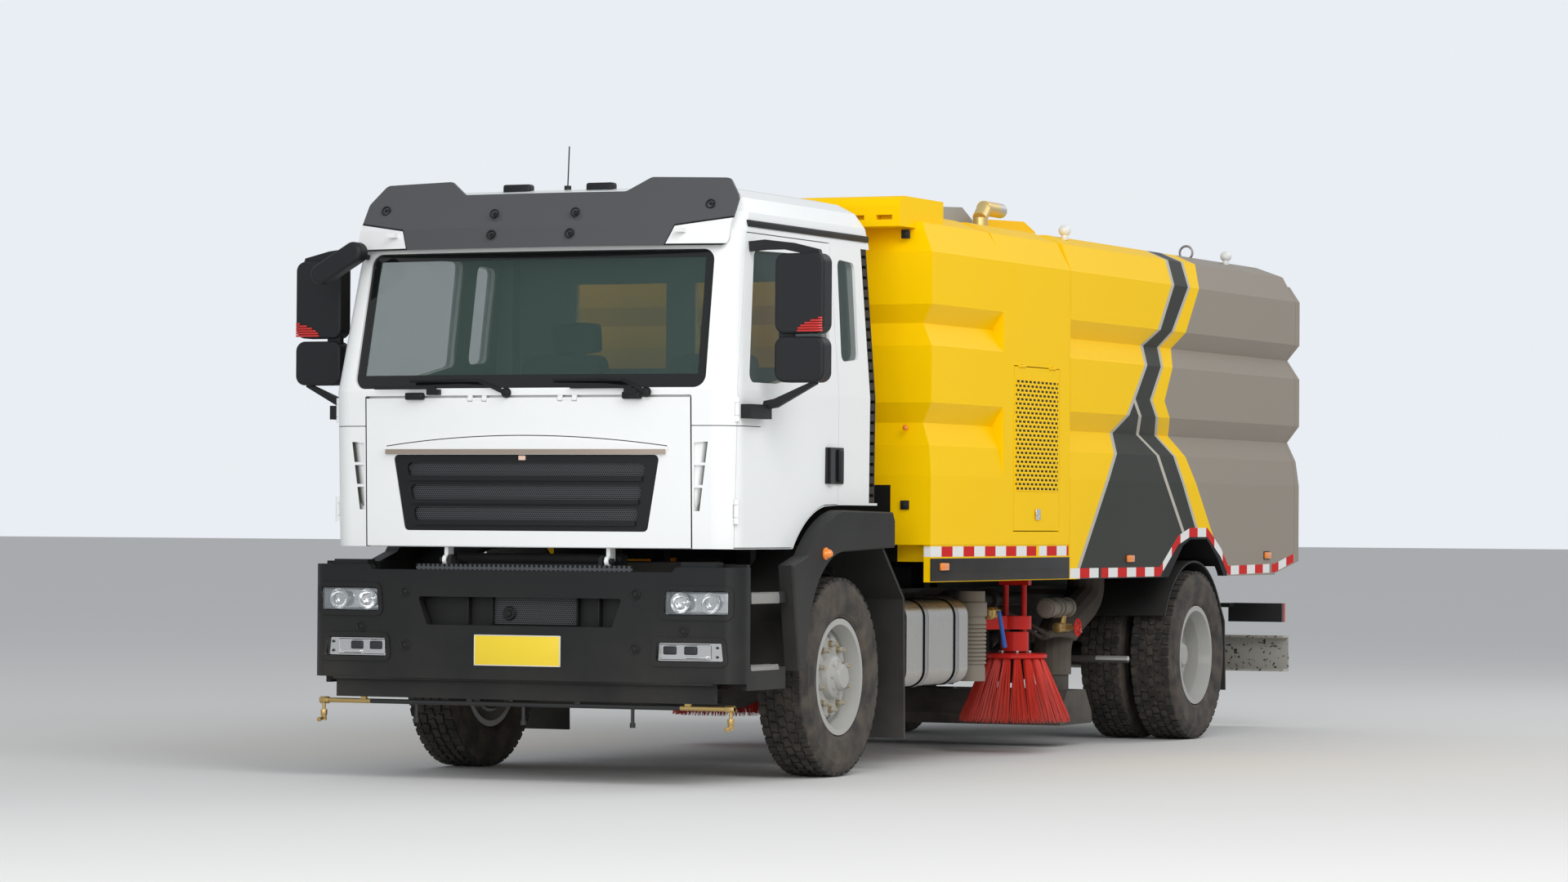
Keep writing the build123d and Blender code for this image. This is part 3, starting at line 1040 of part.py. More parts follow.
# Superstructure: level rectangles lofted; columns (height, inset from the sides, share at the ends)
BODY_SECTIONS = (
    (1551, 0, 0),
    (1709, 17, 17),
    (1830, 66, 45),
    (1936, 0, 0),
    (2237, 0, 0),
    (2357, 66, 45),
    (2456, 0, 0),
    (2732, 0, 0),
    (2890, 85, 70),
    (2950, 230, 190),
)
MODULE_Y = (885, 1916, 2947)
TANK_END = 7085
MODULE_FLOOR = 1184
TANK_FLOOR = 987
SKIRT_DEPTH = 1184 - 987
TANK_SEAM = 6


def corrugated(front, rear, bottom, mode=Mode.ADD):
    """Folded-sheet block between two distances behind the front axle, from bottom to the roof."""
    sections = []
    for height, side_inset, end_inset in ((bottom, 0, 0), *BODY_SECTIONS):
        with BuildSketch(Plane.XY.offset(height)) as level:
            with Locations((0, FRONT_AXLE_Y + (front + rear) / 2)):
                Rectangle(BODY_WIDTH - 2 * side_inset, rear - front - 2 * end_inset)
        sections.append(level.sketch)
    loft(sections, ruled=True, mode=mode)


ACCESS_Y = (2074, 2778)
ACCESS_Z = (1256, 2170)
ACCESS_WALL = 45
MODULE_WALL = 50
LOUVRE_ROWS = 14
LOUVRE_COLUMNS = 4
LOUVRE_AREA = ((2118, 2736), (1481, 2095))
ACCESS_HINGES = (ACCESS_Y[0] + 120, ACCESS_Y[1] - 120)
ACCESS_KNUCKLE = (8, 4, 44)
HOOD_X = 1130
HOOD_Y = (730, 1330)
HOOD_Z = (2860, 3022)
HOOD_SLOTS = 14

with BuildPart() as body_module:
    corrugated(MODULE_Y[0], MODULE_Y[1] + 40, MODULE_FLOOR)
    with BuildSketch(front_plane(MODULE_Y[2] - TANK_SEAM)) as flat_section:
        with BuildLine():
            Polyline((-HALF_BODY, MODULE_FLOOR), (HALF_BODY, MODULE_FLOOR), (HALF_BODY, 2732),
                     (HALF_BODY - 85, 2890), (HALF_BODY - 230, 2950), (230 - HALF_BODY, 2950),
                     (85 - HALF_BODY, 2890), (-HALF_BODY, 2732), close=True)
        make_face()
    extrude(amount=MODULE_Y[2] - TANK_SEAM - MODULE_Y[1])
    box_between((-HOOD_X, HOOD_X), HOOD_Y, HOOD_Z)
    fillet(body_module.edges().filter_by(Axis.X).group_by(Axis.Z)[-1].sort_by(Axis.Y)[:1], 60)
    for slot in range(HOOD_SLOTS):
        x = -HOOD_X + 90 + slot * (2 * HOOD_X - 180) / (HOOD_SLOTS - 1)
        box_between((x - 45, x + 45), (HOOD_Y[0] - 10, HOOD_Y[0] + 60), (2895, 2920), mode=Mode.SUBTRACT)
    box_between((-HALF_BODY + 120, HALF_BODY - 120), (MODULE_Y[0] + 60, MODULE_Y[1] - 50),
                (MODULE_FLOOR + 60, 2830), mode=Mode.SUBTRACT)
    box_between((-HALF_BODY + MODULE_WALL, HALF_BODY - MODULE_WALL), (MODULE_Y[1] + 40, MODULE_Y[2] - 56),
                (MODULE_FLOOR + 60, 2700), mode=Mode.SUBTRACT)
    for sign in (1, -1):
        opening = sorted((sign * (HALF_BODY - 80), sign * (HALF_BODY + 20)))
        box_between(opening, ACCESS_Y, ACCESS_Z, mode=Mode.SUBTRACT)
        skirt = sorted((sign * (HALF_BODY - 4), sign * (HALF_BODY - 44)))
        box_between(skirt, (MODULE_Y[0] + 15, MODULE_Y[2] - TANK_SEAM), (MODULE_FLOOR - SKIRT_DEPTH, MODULE_FLOOR + 10))
    for along in (MODULE_Y[0] + 100, MODULE_Y[1], MODULE_Y[2] - 160):
        for sign in (1, -1):
            sill = sorted((sign * (HALF_FRAME - RAIL_FLANGE), sign * (HALF_BODY - 44)))
            box_between(sill, (along, along + 80), (MODULE_FLOOR - 90, MODULE_FLOOR + 10))
            foot = sorted((sign * (HALF_FRAME - RAIL_FLANGE), sign * HALF_FRAME))
            box_between(foot, (along, along + 80), (FRAME_TOP + SEAT_GAP, MODULE_FLOOR))
    for sign in (1, -1):
        for along in ACCESS_HINGES:
            fixed_knuckles("y", (sign * HALF_BODY, along, ACCESS_Z[1] - SHUT_GAP / 2), *ACCESS_KNUCKLE)
save(body_module.part, "body_module")

with BuildPart() as access_door:
    box_between((HALF_BODY - ACCESS_WALL, HALF_BODY), (ACCESS_Y[0] + SHUT_GAP, ACCESS_Y[1] - SHUT_GAP),
                (ACCESS_Z[0] + SHUT_GAP, ACCESS_Z[1] - SHUT_GAP))
    for row in range(LOUVRE_ROWS):
        level = LOUVRE_AREA[1][0] + 22 + row * (LOUVRE_AREA[1][1] - LOUVRE_AREA[1][0] - 44) / (LOUVRE_ROWS - 1)
        for column in range(LOUVRE_COLUMNS):
            pitch = (LOUVRE_AREA[0][1] - LOUVRE_AREA[0][0]) / LOUVRE_COLUMNS
            left = LOUVRE_AREA[0][0] + (column + 0.1) * pitch
            box_between((HALF_BODY - 60, HALF_BODY + 10), (left, left + 0.8 * pitch), (level - 9, level + 9),
                        mode=Mode.SUBTRACT)
    for along in ACCESS_HINGES:
        moving_knuckle("y", (HALF_BODY, along, ACCESS_Z[1] - SHUT_GAP / 2), *ACCESS_KNUCKLE)
save_pair(access_door.part, "access_door")

with BuildPart() as auxiliary_engine:
    box_between((-420, 420), (1990, 2700), (MODULE_FLOOR + 60 + SEAT_GAP, 2050))
save(auxiliary_engine.part, "auxiliary_engine")

# Roof vent box and the exhaust elbow on the module's roof
with BuildPart() as roof_vent:
    with BuildSketch(side_plane(-700)) as vent:
        with BuildLine():
            Polyline(*at_front_axle(((2010, 2950 + SEAT_GAP), (2010, 3020), (2060, 3055), (2660, 3085),
                                     (2820, 3020), (2820, 2950 + SEAT_GAP))), close=True)
        make_face()
    extrude(amount=1400)
    rod_along("z", (840, 2590, 2985), 42, 70 - 2 * SEAT_GAP)
    with Locations(Location((840, FRONT_AXLE_Y + 2620, 3050), (-50, 0, 0))):
        Cylinder(42, 110)
    rod_along("y", (840, 2760, 3075), 42, 260)
save(roof_vent.part, "roof_vent")

# Hopper tank: folded shell, flat floor, arches over the rear wheels, open at the back
TANK_FRONT = MODULE_Y[2]
HOPPER_X = 1120
HOPPER_Z = (1300, 2800)
HOPPER_FRONT = 3040
DOOR_WALL = 85
DOOR_SEAM_Y = TANK_END - DOOR_WALL
TANK_DOOR_TOP = 2830
TANK_HINGE = (7008, 2842)
TANK_HINGES = (-800, 0, 800)
TANK_KNUCKLE = (18, 10, 90)
ARCH_POINTS = ((4600, 900), (4608, 985), (4868, 1175), (5000, 1212), (5300, 1212), (5500, 1095),
               (5607, 998), (5615, 900))
ARCH_INNER_X = 590
TANK_UNDERSIDE = 1045
SKIRT_WALL = 38

with BuildPart() as tank_outer:
    corrugated(TANK_FRONT, TANK_END, TANK_FLOOR)
    with BuildSketch(side_plane(-HALF_BODY - 10)) as heel:
        with BuildLine():
            Polyline(*at_front_axle(((6605, 980), (6605, 996), (TANK_END + 20, 1074), (TANK_END + 20, 980))),
                     close=True)
        make_face()
    extrude(amount=BODY_WIDTH + 20, mode=Mode.SUBTRACT)

with BuildPart() as tank_bed:
    add(tank_outer.part)
    box_between((-HOPPER_X, HOPPER_X), (HOPPER_FRONT, TANK_END + 50), HOPPER_Z, mode=Mode.SUBTRACT)
    box_between((-HALF_BODY - 50, HALF_BODY + 50), (DOOR_SEAM_Y - SHUT_GAP, TANK_END + 50), (900, 3000),
                mode=Mode.SUBTRACT)
    box_between((SKIRT_WALL - HALF_BODY, HALF_BODY - SKIRT_WALL), (TANK_FRONT - 10, TANK_END + 50),
                (900, TANK_UNDERSIDE), mode=Mode.SUBTRACT)
    for start in (ARCH_INNER_X, -HALF_BODY - 20):
        with BuildSketch(side_plane(start)):
            with BuildLine():
                Polyline(*at_front_axle(ARCH_POINTS), close=True)
            make_face()
        extrude(amount=HALF_BODY + 20 - ARCH_INNER_X, mode=Mode.SUBTRACT)
    with BuildSketch(side_plane(-700)) as vent:
        with BuildLine():
            Polyline(*at_front_axle(((3010, 2940), (3010, 3000), (3060, 3040), (3620, 3060), (3800, 3010),
                                     (3800, 2940))), close=True)
        make_face()
    extrude(amount=1400)
    for sign in (1, -1):
        rail = sorted((sign * (HALF_FRAME - RAIL_FLANGE), sign * (HALF_FRAME - 10)))
        box_between(rail, (TANK_FRONT + 60, TIP_PIVOT[0] - 120), (FRAME_TOP + SEAT_GAP, TANK_UNDERSIDE + 5))
        lug = sorted((sign * (HALF_FRAME + LUG_THICKNESS + 10), sign * (HALF_FRAME + 2 * LUG_THICKNESS + 10)))
        box_between(lug, (TIP_PIVOT[0] - 40, TIP_PIVOT[0] + 40), (TIP_PIVOT[1], TANK_UNDERSIDE + 5))
        rod_along("x", (sign * (HALF_FRAME + 1.5 * LUG_THICKNESS + 10), *TIP_PIVOT), 30, LUG_THICKNESS)
        rod_along("x", (sign * (HALF_FRAME + LUG_THICKNESS + 10), *TIP_PIVOT), PIN_RADIUS + SEAT_GAP, 80,
                  Mode.SUBTRACT)
        for side in (-1, 1):
            eye_lug = sorted((sign * LIFT_SPACING + side * 34, sign * LIFT_SPACING + side * 50))
            box_between(eye_lug, (LIFT_EYE[0] - 40, LIFT_EYE[0] + 40), (LIFT_EYE[1] - 35, TANK_UNDERSIDE + 10))
    for x in TANK_HINGES:
        fixed_knuckles("x", (x, *TANK_HINGE), *TANK_KNUCKLE)
save(tank_bed.part, "tank_bed")

with BuildPart() as tank_door:
    add(tank_outer.part)
    box_between((-HALF_BODY - 50, HALF_BODY + 50), (DOOR_SEAM_Y, TANK_END + 50), (900, TANK_DOOR_TOP),
                Mode.INTERSECT)
    for x in TANK_HINGES:
        moving_knuckle("x", (x, *TANK_HINGE), *TANK_KNUCKLE)
save(tank_door.part, "tank_door")

# Lift cylinders: barrels pinned between the rails, rods reaching the tank's floor
BARREL_RADIUS = 52
ROD_RADIUS = 30
EYE_RADIUS = 36
lift_run = LIFT_EYE[0] - LIFT_BASE[0]
lift_rise = LIFT_EYE[1] - LIFT_BASE[1]
lift_length = hypot(lift_run, lift_rise)
lift_angle = degrees(atan2(lift_rise, lift_run))
BARREL_START = 105
GLAND = 60
BARREL_END = lift_length - 160


def lift_bar(x, start, end, radius, mode=Mode.ADD):
    """Round bar on a lift cylinder's centre line, from start to end measured from its base pin."""
    middle = (start + end) / 2
    share = middle / lift_length
    with Locations(Location((x, FRONT_AXLE_Y + LIFT_BASE[0] + share * lift_run, LIFT_BASE[1] + share * lift_rise),
                            (lift_angle - 90, 0, 0))):
        Cylinder(radius, end - start, mode=mode)


with BuildPart() as lift_barrel:
    for x in (LIFT_SPACING, -LIFT_SPACING):
        lift_bar(x, BARREL_START, BARREL_END, BARREL_RADIUS)
        lift_bar(x, 20, BARREL_START + 10, BARREL_RADIUS - 24)
        rod_along("x", (x, *LIFT_BASE), EYE_RADIUS, 60)
        lift_bar(x, BARREL_START + 20, BARREL_END - GLAND, ROD_RADIUS + 2, Mode.SUBTRACT)
        lift_bar(x, BARREL_START + 20, BARREL_END + 10, ROD_RADIUS + RUN_GAP, Mode.SUBTRACT)
        rod_along("x", (x, *LIFT_BASE), PIN_RADIUS + SEAT_GAP, 80, Mode.SUBTRACT)
save(lift_barrel.part, "lift_barrel")

with BuildPart() as lift_rod:
    for x in (LIFT_SPACING, -LIFT_SPACING):
        lift_bar(x, BARREL_START + 30, lift_length - 20, ROD_RADIUS)
        rod_along("x", (x, *LIFT_EYE), EYE_RADIUS, 50)
save(lift_rod.part, "lift_rod")

# Side brushes: swinging arm, motor carrier that drops, and the brush with its bundles
BRUSH_CENTRE = (900, 3000)
CARRIER_ROD_X = 55
PLATE_RADIUS = 185
PLATE_Z = (535, 562)
BRISTLE_TIP_Z = 172
BRISTLE_TIP_RADIUS = 318
BRISTLE_ROOT_RADIUS = 150
BUNDLE_COUNT = 28
SHAFT_STUB = 25
arm_angle = degrees(atan2(BRUSH_CENTRE[1] - ARM_PIVOT[1], BRUSH_CENTRE[0] - ARM_PIVOT[0]))
arm_length = hypot(BRUSH_CENTRE[1] - ARM_PIVOT[1], BRUSH_CENTRE[0] - ARM_PIVOT[0])

with BuildPart() as brush_arm:
    middle = ((ARM_PIVOT[0] + BRUSH_CENTRE[0]) / 2, FRONT_AXLE_Y + (ARM_PIVOT[1] + BRUSH_CENTRE[1]) / 2)
    with Locations(Location((*middle, (ARM_Z[0] + ARM_Z[1]) / 2), (0, 0, arm_angle))):
        Box(arm_length, 80, ARM_Z[1] - ARM_Z[0])
    rod_along("z", (*ARM_PIVOT, (ARM_Z[0] + ARM_Z[1]) / 2), 45, ARM_Z[1] - ARM_Z[0])
    rod_along("z", (*BRUSH_CENTRE, (ARM_Z[0] + ARM_Z[1]) / 2), 95, ARM_Z[1] - ARM_Z[0])
    rod_along("z", (*ARM_PIVOT, (ARM_Z[0] + ARM_Z[1]) / 2), ARM_PIN_RADIUS + SEAT_GAP, 200, Mode.SUBTRACT)
    for x in (CARRIER_ROD_X, -CARRIER_ROD_X):
        rod_along("z", (BRUSH_CENTRE[0] + x, BRUSH_CENTRE[1], ARM_Z[0]), 16 + RUN_GAP, 300, Mode.SUBTRACT)
save_pair(brush_arm.part, "brush_arm")

with BuildPart() as brush_carrier:
    rod_along("z", (*BRUSH_CENTRE, 630), 80, 110)
    rod_along("z", (*BRUSH_CENTRE, (PLATE_Z[0] + 580) / 2), SHAFT_STUB, 580 - PLATE_Z[0])
    for x in (CARRIER_ROD_X, -CARRIER_ROD_X):
        rod_along("z", (BRUSH_CENTRE[0] + x, BRUSH_CENTRE[1], 819), 16, 318)
    box_between((BRUSH_CENTRE[0] - 90, BRUSH_CENTRE[0] + 90), (BRUSH_CENTRE[1] - 25, BRUSH_CENTRE[1] + 25),
                (950, 978))
save_pair(brush_carrier.part, "brush_carrier")

with BuildPart() as brush:
    rod_along("z", (*BRUSH_CENTRE, (PLATE_Z[0] + PLATE_Z[1]) / 2), PLATE_RADIUS, PLATE_Z[1] - PLATE_Z[0])
    slant = degrees(atan2(BRISTLE_TIP_RADIUS - BRISTLE_ROOT_RADIUS, PLATE_Z[0] - BRISTLE_TIP_Z))
    reach = hypot(BRISTLE_TIP_RADIUS - BRISTLE_ROOT_RADIUS, PLATE_Z[0] - BRISTLE_TIP_Z)
    with Locations((BRUSH_CENTRE[0], FRONT_AXLE_Y + BRUSH_CENTRE[1], (PLATE_Z[0] + BRISTLE_TIP_Z) / 2 + 5)):
        with PolarLocations((BRISTLE_TIP_RADIUS + BRISTLE_ROOT_RADIUS) / 2, BUNDLE_COUNT):
            Box(26, 34, reach, rotation=(0, -slant, 0))
    rod_along("z", (*BRUSH_CENTRE, (PLATE_Z[0] + PLATE_Z[1]) / 2), SHAFT_STUB + RUN_GAP, 100, Mode.SUBTRACT)
    rod_along("z", (*BRUSH_CENTRE, 300), 400, 600, Mode.INTERSECT)
    rod_along("z", (*BRUSH_CENTRE, BRISTLE_TIP_Z / 2), 500, BRISTLE_TIP_Z, Mode.SUBTRACT)
save_pair(brush.part, "brush")

# Suction head between the axles: wide mouth, end skids, neck on the left and its slide posts
HEAD_HALF = 950
HEAD_Y = (3600, 4120)
HEAD_Z = (130, 330)
NECK = (800, 3860)
NECK_RADIUS = 95
HOSE_SIDES = 16
NECK_TOP = 560
HEAD_POST_X = 480
POST_RADIUS = 18
POST_TOP = 880
HOSE_RADIUS = 110
HOSE_WALL = 8
HOSE_TOP = (4410, TANK_UNDERSIDE - 6)

with BuildPart() as suction_head:
    with BuildSketch(side_plane(-HEAD_HALF)) as mouth:
        with BuildLine():
            Polyline(*at_front_axle(((HEAD_Y[0], HEAD_Z[0]), (HEAD_Y[0], HEAD_Z[0] + 60), (HEAD_Y[0] + 110, HEAD_Z[1]),
                                     (HEAD_Y[1] - 110, HEAD_Z[1]), (HEAD_Y[1], HEAD_Z[0] + 60),
                                     (HEAD_Y[1], HEAD_Z[0]))), close=True)
        make_face()
    extrude(amount=2 * HEAD_HALF)
    box_between((-HEAD_HALF + 25, HEAD_HALF - 25), (HEAD_Y[0] + 25, HEAD_Y[1] - 25), (HEAD_Z[0] - 10, HEAD_Z[0] + 60),
                mode=Mode.SUBTRACT)
    rod_along("z", (*NECK, (HEAD_Z[1] + NECK_TOP) / 2 - 5), NECK_RADIUS, NECK_TOP - HEAD_Z[1] + 10)
    rod_along("z", (*NECK, (HEAD_Z[0] + NECK_TOP) / 2), NECK_RADIUS - 8, NECK_TOP - HEAD_Z[0] + 20, Mode.SUBTRACT)
    for x in (HEAD_POST_X, -HEAD_POST_X):
        rod_along("z", (x, (HEAD_Y[0] + HEAD_Y[1]) / 2, (HEAD_Z[1] + POST_TOP) / 2 - 2), POST_RADIUS,
                  POST_TOP - HEAD_Z[1] + 4)
save(suction_head.part, "suction_head")

with BuildPart() as suction_hose:
    base = (NECK[0], FRONT_AXLE_Y + NECK[1])
    with BuildLine() as hose_path:
        FilletPolyline((*base, 420), (*base, 640), (base[0], FRONT_AXLE_Y + HOSE_TOP[0], 860),
                       (base[0], FRONT_AXLE_Y + HOSE_TOP[0], HOSE_TOP[1]), radius=150)
    with BuildSketch(Plane.XY.offset(420)) as hose_ring:
        with Locations(base):
            RegularPolygon(HOSE_RADIUS, HOSE_SIDES)
            RegularPolygon(HOSE_RADIUS - HOSE_WALL, HOSE_SIDES, mode=Mode.SUBTRACT)
    sweep(hose_ring.sketch, path=hose_path.line)
    rod_along("z", (NECK[0], HOSE_TOP[0], HOSE_TOP[1] - 8), HOSE_RADIUS + 22, 16)
    rod_along("z", (NECK[0], HOSE_TOP[0], HOSE_TOP[1] - 8), HOSE_RADIUS - HOSE_WALL, 40, Mode.SUBTRACT)
    box_between((HALF_FRAME + SEAT_GAP, NECK[0] - HOSE_RADIUS + 4), (HOSE_TOP[0] - 25, HOSE_TOP[0] + 25), (880, 910))
save(suction_hose.part, "suction_hose")

# Guides for the suction head's posts, water pipe along the left rail and the rear rinse bar
PIPE = (620, 860)
with BuildPart() as water_pipes:
    for sign in (1, -1):
        arm = sorted((sign * (HALF_FRAME + SEAT_GAP), sign * (HEAD_POST_X + 45)))
        box_between(arm, ((HEAD_Y[0] + HEAD_Y[1]) / 2 - 45, (HEAD_Y[0] + HEAD_Y[1]) / 2 + 45), (690, 760))
        rod_along("z", (sign * HEAD_POST_X, (HEAD_Y[0] + HEAD_Y[1]) / 2, 700), POST_RADIUS + RUN_GAP, 300, Mode.SUBTRACT)
        rod_along("x", (sign * 780, 4330, 500), 20, 640)
        post = sorted((sign * (HALF_FRAME + SEAT_GAP), sign * (HALF_FRAME + 40)))
        box_between(post, (4310, 4350), (480, 760))
    rod_along("y", (PIPE[0], 3050, PIPE[1]), 38, 1500)
    rod_along("y", (PIPE[0], 3300, PIPE[1]), 62, 60)
    rod_along("y", (PIPE[0], 2700, PIPE[1]), 62, 60)
    for along in (2600, 3550):
        box_between((HALF_FRAME + SEAT_GAP, PIPE[0]), (along, along + 30), (PIPE[1] - 15, PIPE[1] + 15))
save(water_pipes.part, "water_pipes")
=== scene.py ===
# %% [markdown]
# # A street sweeper truck
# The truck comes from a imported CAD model. This script leaves its shapes where they are and adds
# what the eye expects on a real one: paint and road dust, tyre treads, lamps, tape, bristles and
# the small fittings that were too fine for the model. Everything is in metres, +X is the truck's
# left, its front faces -Y, and the ground is at zero.

from math import cos, pi, radians, sin

import bpy
from mathutils import Matrix, Vector


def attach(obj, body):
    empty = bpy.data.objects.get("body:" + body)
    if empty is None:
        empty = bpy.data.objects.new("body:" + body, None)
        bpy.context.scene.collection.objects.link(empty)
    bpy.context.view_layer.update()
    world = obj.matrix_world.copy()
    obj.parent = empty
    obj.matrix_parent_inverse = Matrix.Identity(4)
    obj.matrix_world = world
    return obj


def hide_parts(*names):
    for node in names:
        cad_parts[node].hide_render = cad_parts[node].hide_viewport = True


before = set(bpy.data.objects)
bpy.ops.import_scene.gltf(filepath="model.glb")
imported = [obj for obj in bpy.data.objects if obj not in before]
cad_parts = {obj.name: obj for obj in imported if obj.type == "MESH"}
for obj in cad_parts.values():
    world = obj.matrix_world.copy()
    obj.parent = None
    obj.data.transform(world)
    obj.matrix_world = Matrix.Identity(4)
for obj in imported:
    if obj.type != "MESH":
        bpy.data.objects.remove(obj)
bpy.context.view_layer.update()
FRONT_AXLE, REAR_AXLE = -2.89, 2.31

# %% [markdown]
# The camera stands low, some 26 metres ahead of the truck's middle and 11 to its left, with a
# long lens, as the photographer did. Its place came from fitting the wheels and the body's edges:
# a spot, a compass turn, a slight upward pitch and a touch of roll.

# %% Camera
SPOT = (11.0694, -25.8234, 1.29696)
TURN, PITCH, ROLL = 0.421088458, 0.0166874526, 0.00653038335
FOCUS_IN_PIXELS, PICTURE_WIDTH, SENSOR_WIDTH = 5984.73, 1919, 36
ahead = Vector((-sin(TURN) * cos(PITCH), cos(TURN) * cos(PITCH), sin(PITCH)))
right = Vector((cos(TURN), sin(TURN), 0))
up = right.cross(ahead)
right, up = cos(ROLL) * right + sin(ROLL) * up, cos(ROLL) * up - sin(ROLL) * right
bpy.ops.object.camera_add()
camera = bpy.context.object
camera.name = "view_camera"
camera.matrix_world = Matrix.Translation(SPOT) @ Matrix((right, up, -ahead)).transposed().to_4x4()
camera.data.lens = FOCUS_IN_PIXELS * SENSOR_WIDTH / PICTURE_WIDTH
camera.data.clip_end = 500
bpy.context.scene.camera = camera
print("camera at", [round(v, 3) for v in camera.location], "lens", round(camera.data.lens, 1))

# %% [markdown]
# ## Finishes
# Shader maths reads best as plain arithmetic. A small wrapper round a socket lets Python's
# operators add the Math nodes, and one method makes every other node.

# %% Shader helpers
def maths(operation, swapped=False, clamp=False):
    """A method that adds one Math node for the wire it is called on."""
    def act(wire, other=0):
        first, second = (other, wire) if swapped else (wire, other)
        sockets = {0: first, 1: second}
        return wire.finish.node("Math", sockets, operation=operation, use_clamp=clamp)
    return act


class Wire:
    """A node's output that arithmetic acts on by adding Math nodes."""

    def __init__(self, finish, socket):
        self.finish, self.socket = finish, socket

    __add__ = __radd__ = maths("ADD")
    __sub__ = maths("SUBTRACT")
    __rsub__ = maths("SUBTRACT", swapped=True)
    __mul__ = __rmul__ = maths("MULTIPLY")
    __truediv__ = maths("DIVIDE")
    __gt__ = maths("GREATER_THAN")
    __lt__ = maths("LESS_THAN")
    fraction = maths("FRACT")
    size = maths("ABSOLUTE")
    clamped = maths("ADD", clamp=True)

    def within(self, low, high):
        return (self > low) * (self < high)

    def near(self, middle, reach):
        return (self - middle).size() < reach


class Finish:
    """One material: a principled shader and the nodes that drive it."""

    def __init__(self, name, colour, roughness, **fixed):
        self.material = bpy.data.materials.new(name)
        self.material.use_nodes = True
        self.tree = self.material.node_tree
        self.shader = self.tree.nodes["Principled BSDF"]
        self.base = colour
        self.set("Base Color", colour)
        self.set("Roughness", roughness)
        for socket, value in fixed.items():
            self.set(socket.replace("_", " "), value)

    def feed(self, socket, value):
        """Link a wire to a socket, or write a constant there."""
        if isinstance(value, Wire):
            self.tree.links.new(value.socket, socket)
        else:
            socket.default_value = (*value, 1) if socket.type == "RGBA" else value

    def set(self, socket, value):
        self.feed(self.shader.inputs[socket], value)

    def node(self, kind, sockets, output=0, **settings):
        made = self.tree.nodes.new("ShaderNode" + kind)
        for key, value in settings.items():
            setattr(made, key, value)
        for key, value in sockets.items():
            self.feed(made.inputs[key], value)
        return Wire(self, made.outputs[output])

    def place(self):
        """A point's distance from the truck's middle, behind its front axle and above the road."""
        point = self.node("TexCoord", {}, "Object")
        parts = self.tree.nodes.new("ShaderNodeSeparateXYZ")
        self.feed(parts.inputs[0], point)
        across, along, height = [Wire(self, socket) for socket in parts.outputs]
        return across, along - FRONT_AXLE, height

    def noise(self, scale, detail=4, stretch=(1, 1, 1)):
        point = self.node("TexCoord", {}, "Object")
        stretched = self.node("Mapping", {"Vector": point, "Scale": stretch})
        sockets = {"Vector": stretched, "Scale": scale, "Detail": detail, "Roughness": 0.55}
        return self.node("TexNoise", sockets)

    def wash(self, share, colour):
        """Lay another colour over the base by a share that varies over the surface."""
        sockets = {0: share, 6: self.base, 7: colour}
        self.base = self.node("Mix", sockets, 2, data_type="RGBA")
        self.set("Base Color", self.base)

    def bump(self, height, strength, distance):
        sockets = {"Strength": strength, "Distance": distance, "Height": height}
        self.set("Normal", self.node("Bump", sockets))


def between(value, low, high):
    """0 below low, 1 above high, and a straight slope between them."""
    return ((value - low) * (1 / (high - low))).clamped()


def broken_line(value, bends, levels):
    """A line that runs straight from one level to the next between bends in a value."""
    line = levels[0]
    for low, high, start, end in zip(bends, bends[1:], levels, levels[1:]):
        sockets = {0: value, 1: low, 2: high, 3: 0, 4: end - start}
        line = value.finish.node("MapRange", sockets, clamp=True) + line
    return line


# %% [markdown]
# ### Road dust
# A washed truck is still not spotless: a thin film of pale dust climbs up from the road and
# thins out in patches. One helper lays it on any finish.

# %% Dust and the paints
DUST = (0.33, 0.29, 0.24)
YELLOW = (0.98, 0.6, 0)
REAR_GREY = (0.31, 0.27, 0.225)
BRASS = (0.55, 0.38, 0.14)
UNDER_BLACK = (0.012, 0.012, 0.013)
CHASSIS_BLACK = (0.02, 0.02, 0.021)


def dusty(finish, top, most):
    """Dust up to a height above the road, with the share it has at most."""
    height = finish.place()[2]
    patches = between(finish.noise(2.5, 5), 0.25, 0.75)
    finish.wash((1 - between(height, 0, top)) * patches * most, DUST)
    return finish


def ripple(finish, rough):
    """The faint waves of painted sheet metal."""
    finish.set("Roughness", rough + 0.12 * (finish.noise(1.3, 3) - 0.5))
    finish.bump(finish.noise(60, 2), 0.03, 0.001)


def paint(name, colour, top=1.6, most=0.25, rough=0.4, coat=0.02):
    """Two-layer vehicle paint: faint ripple, clear coat, light dust near the road."""
    made = Finish(name, colour, rough, Specular_IOR_Level=0.06, Coat_Weight=coat,
                  Coat_Roughness=0.08)
    ripple(made, rough)
    return dusty(made, top, most)


def moulded(name, colour, rough=0.55, grain=900, top=1.1, most=0.35):
    """Grained moulding: fine leathery pits and grey dust in them."""
    made = Finish(name, colour, rough, Specular_IOR_Level=0.3)
    made.bump(made.noise(grain, 2), 0.35, 0.0006)
    made.set("Roughness", rough + 0.2 * (made.noise(3) - 0.5))
    return dusty(made, top, most)


def bare_metal(name, colour, rough=0.35, brush=(20, 1, 1), top=1, most=0.3):
    """Metal with lines left by rolling or brushing along one direction."""
    made = Finish(name, colour, rough, Metallic=0.9)
    lines = made.noise(25, 3, brush)
    made.set("Roughness", rough + 0.25 * (lines - 0.5))
    made.bump(lines, 0.05, 0.0005)
    return dusty(made, top, most)


def rubber(name, colour, rough, patch, worn, dust, grain):
    """Rubber with brown dust in patches above a level of noise."""
    made = Finish(name, colour, rough)
    share, low = worn
    made.wash(between(made.noise(patch, 6), low, low + 0.4) * share, dust)
    made.bump(made.noise(grain, 3), 0.3, 0.001)
    return made


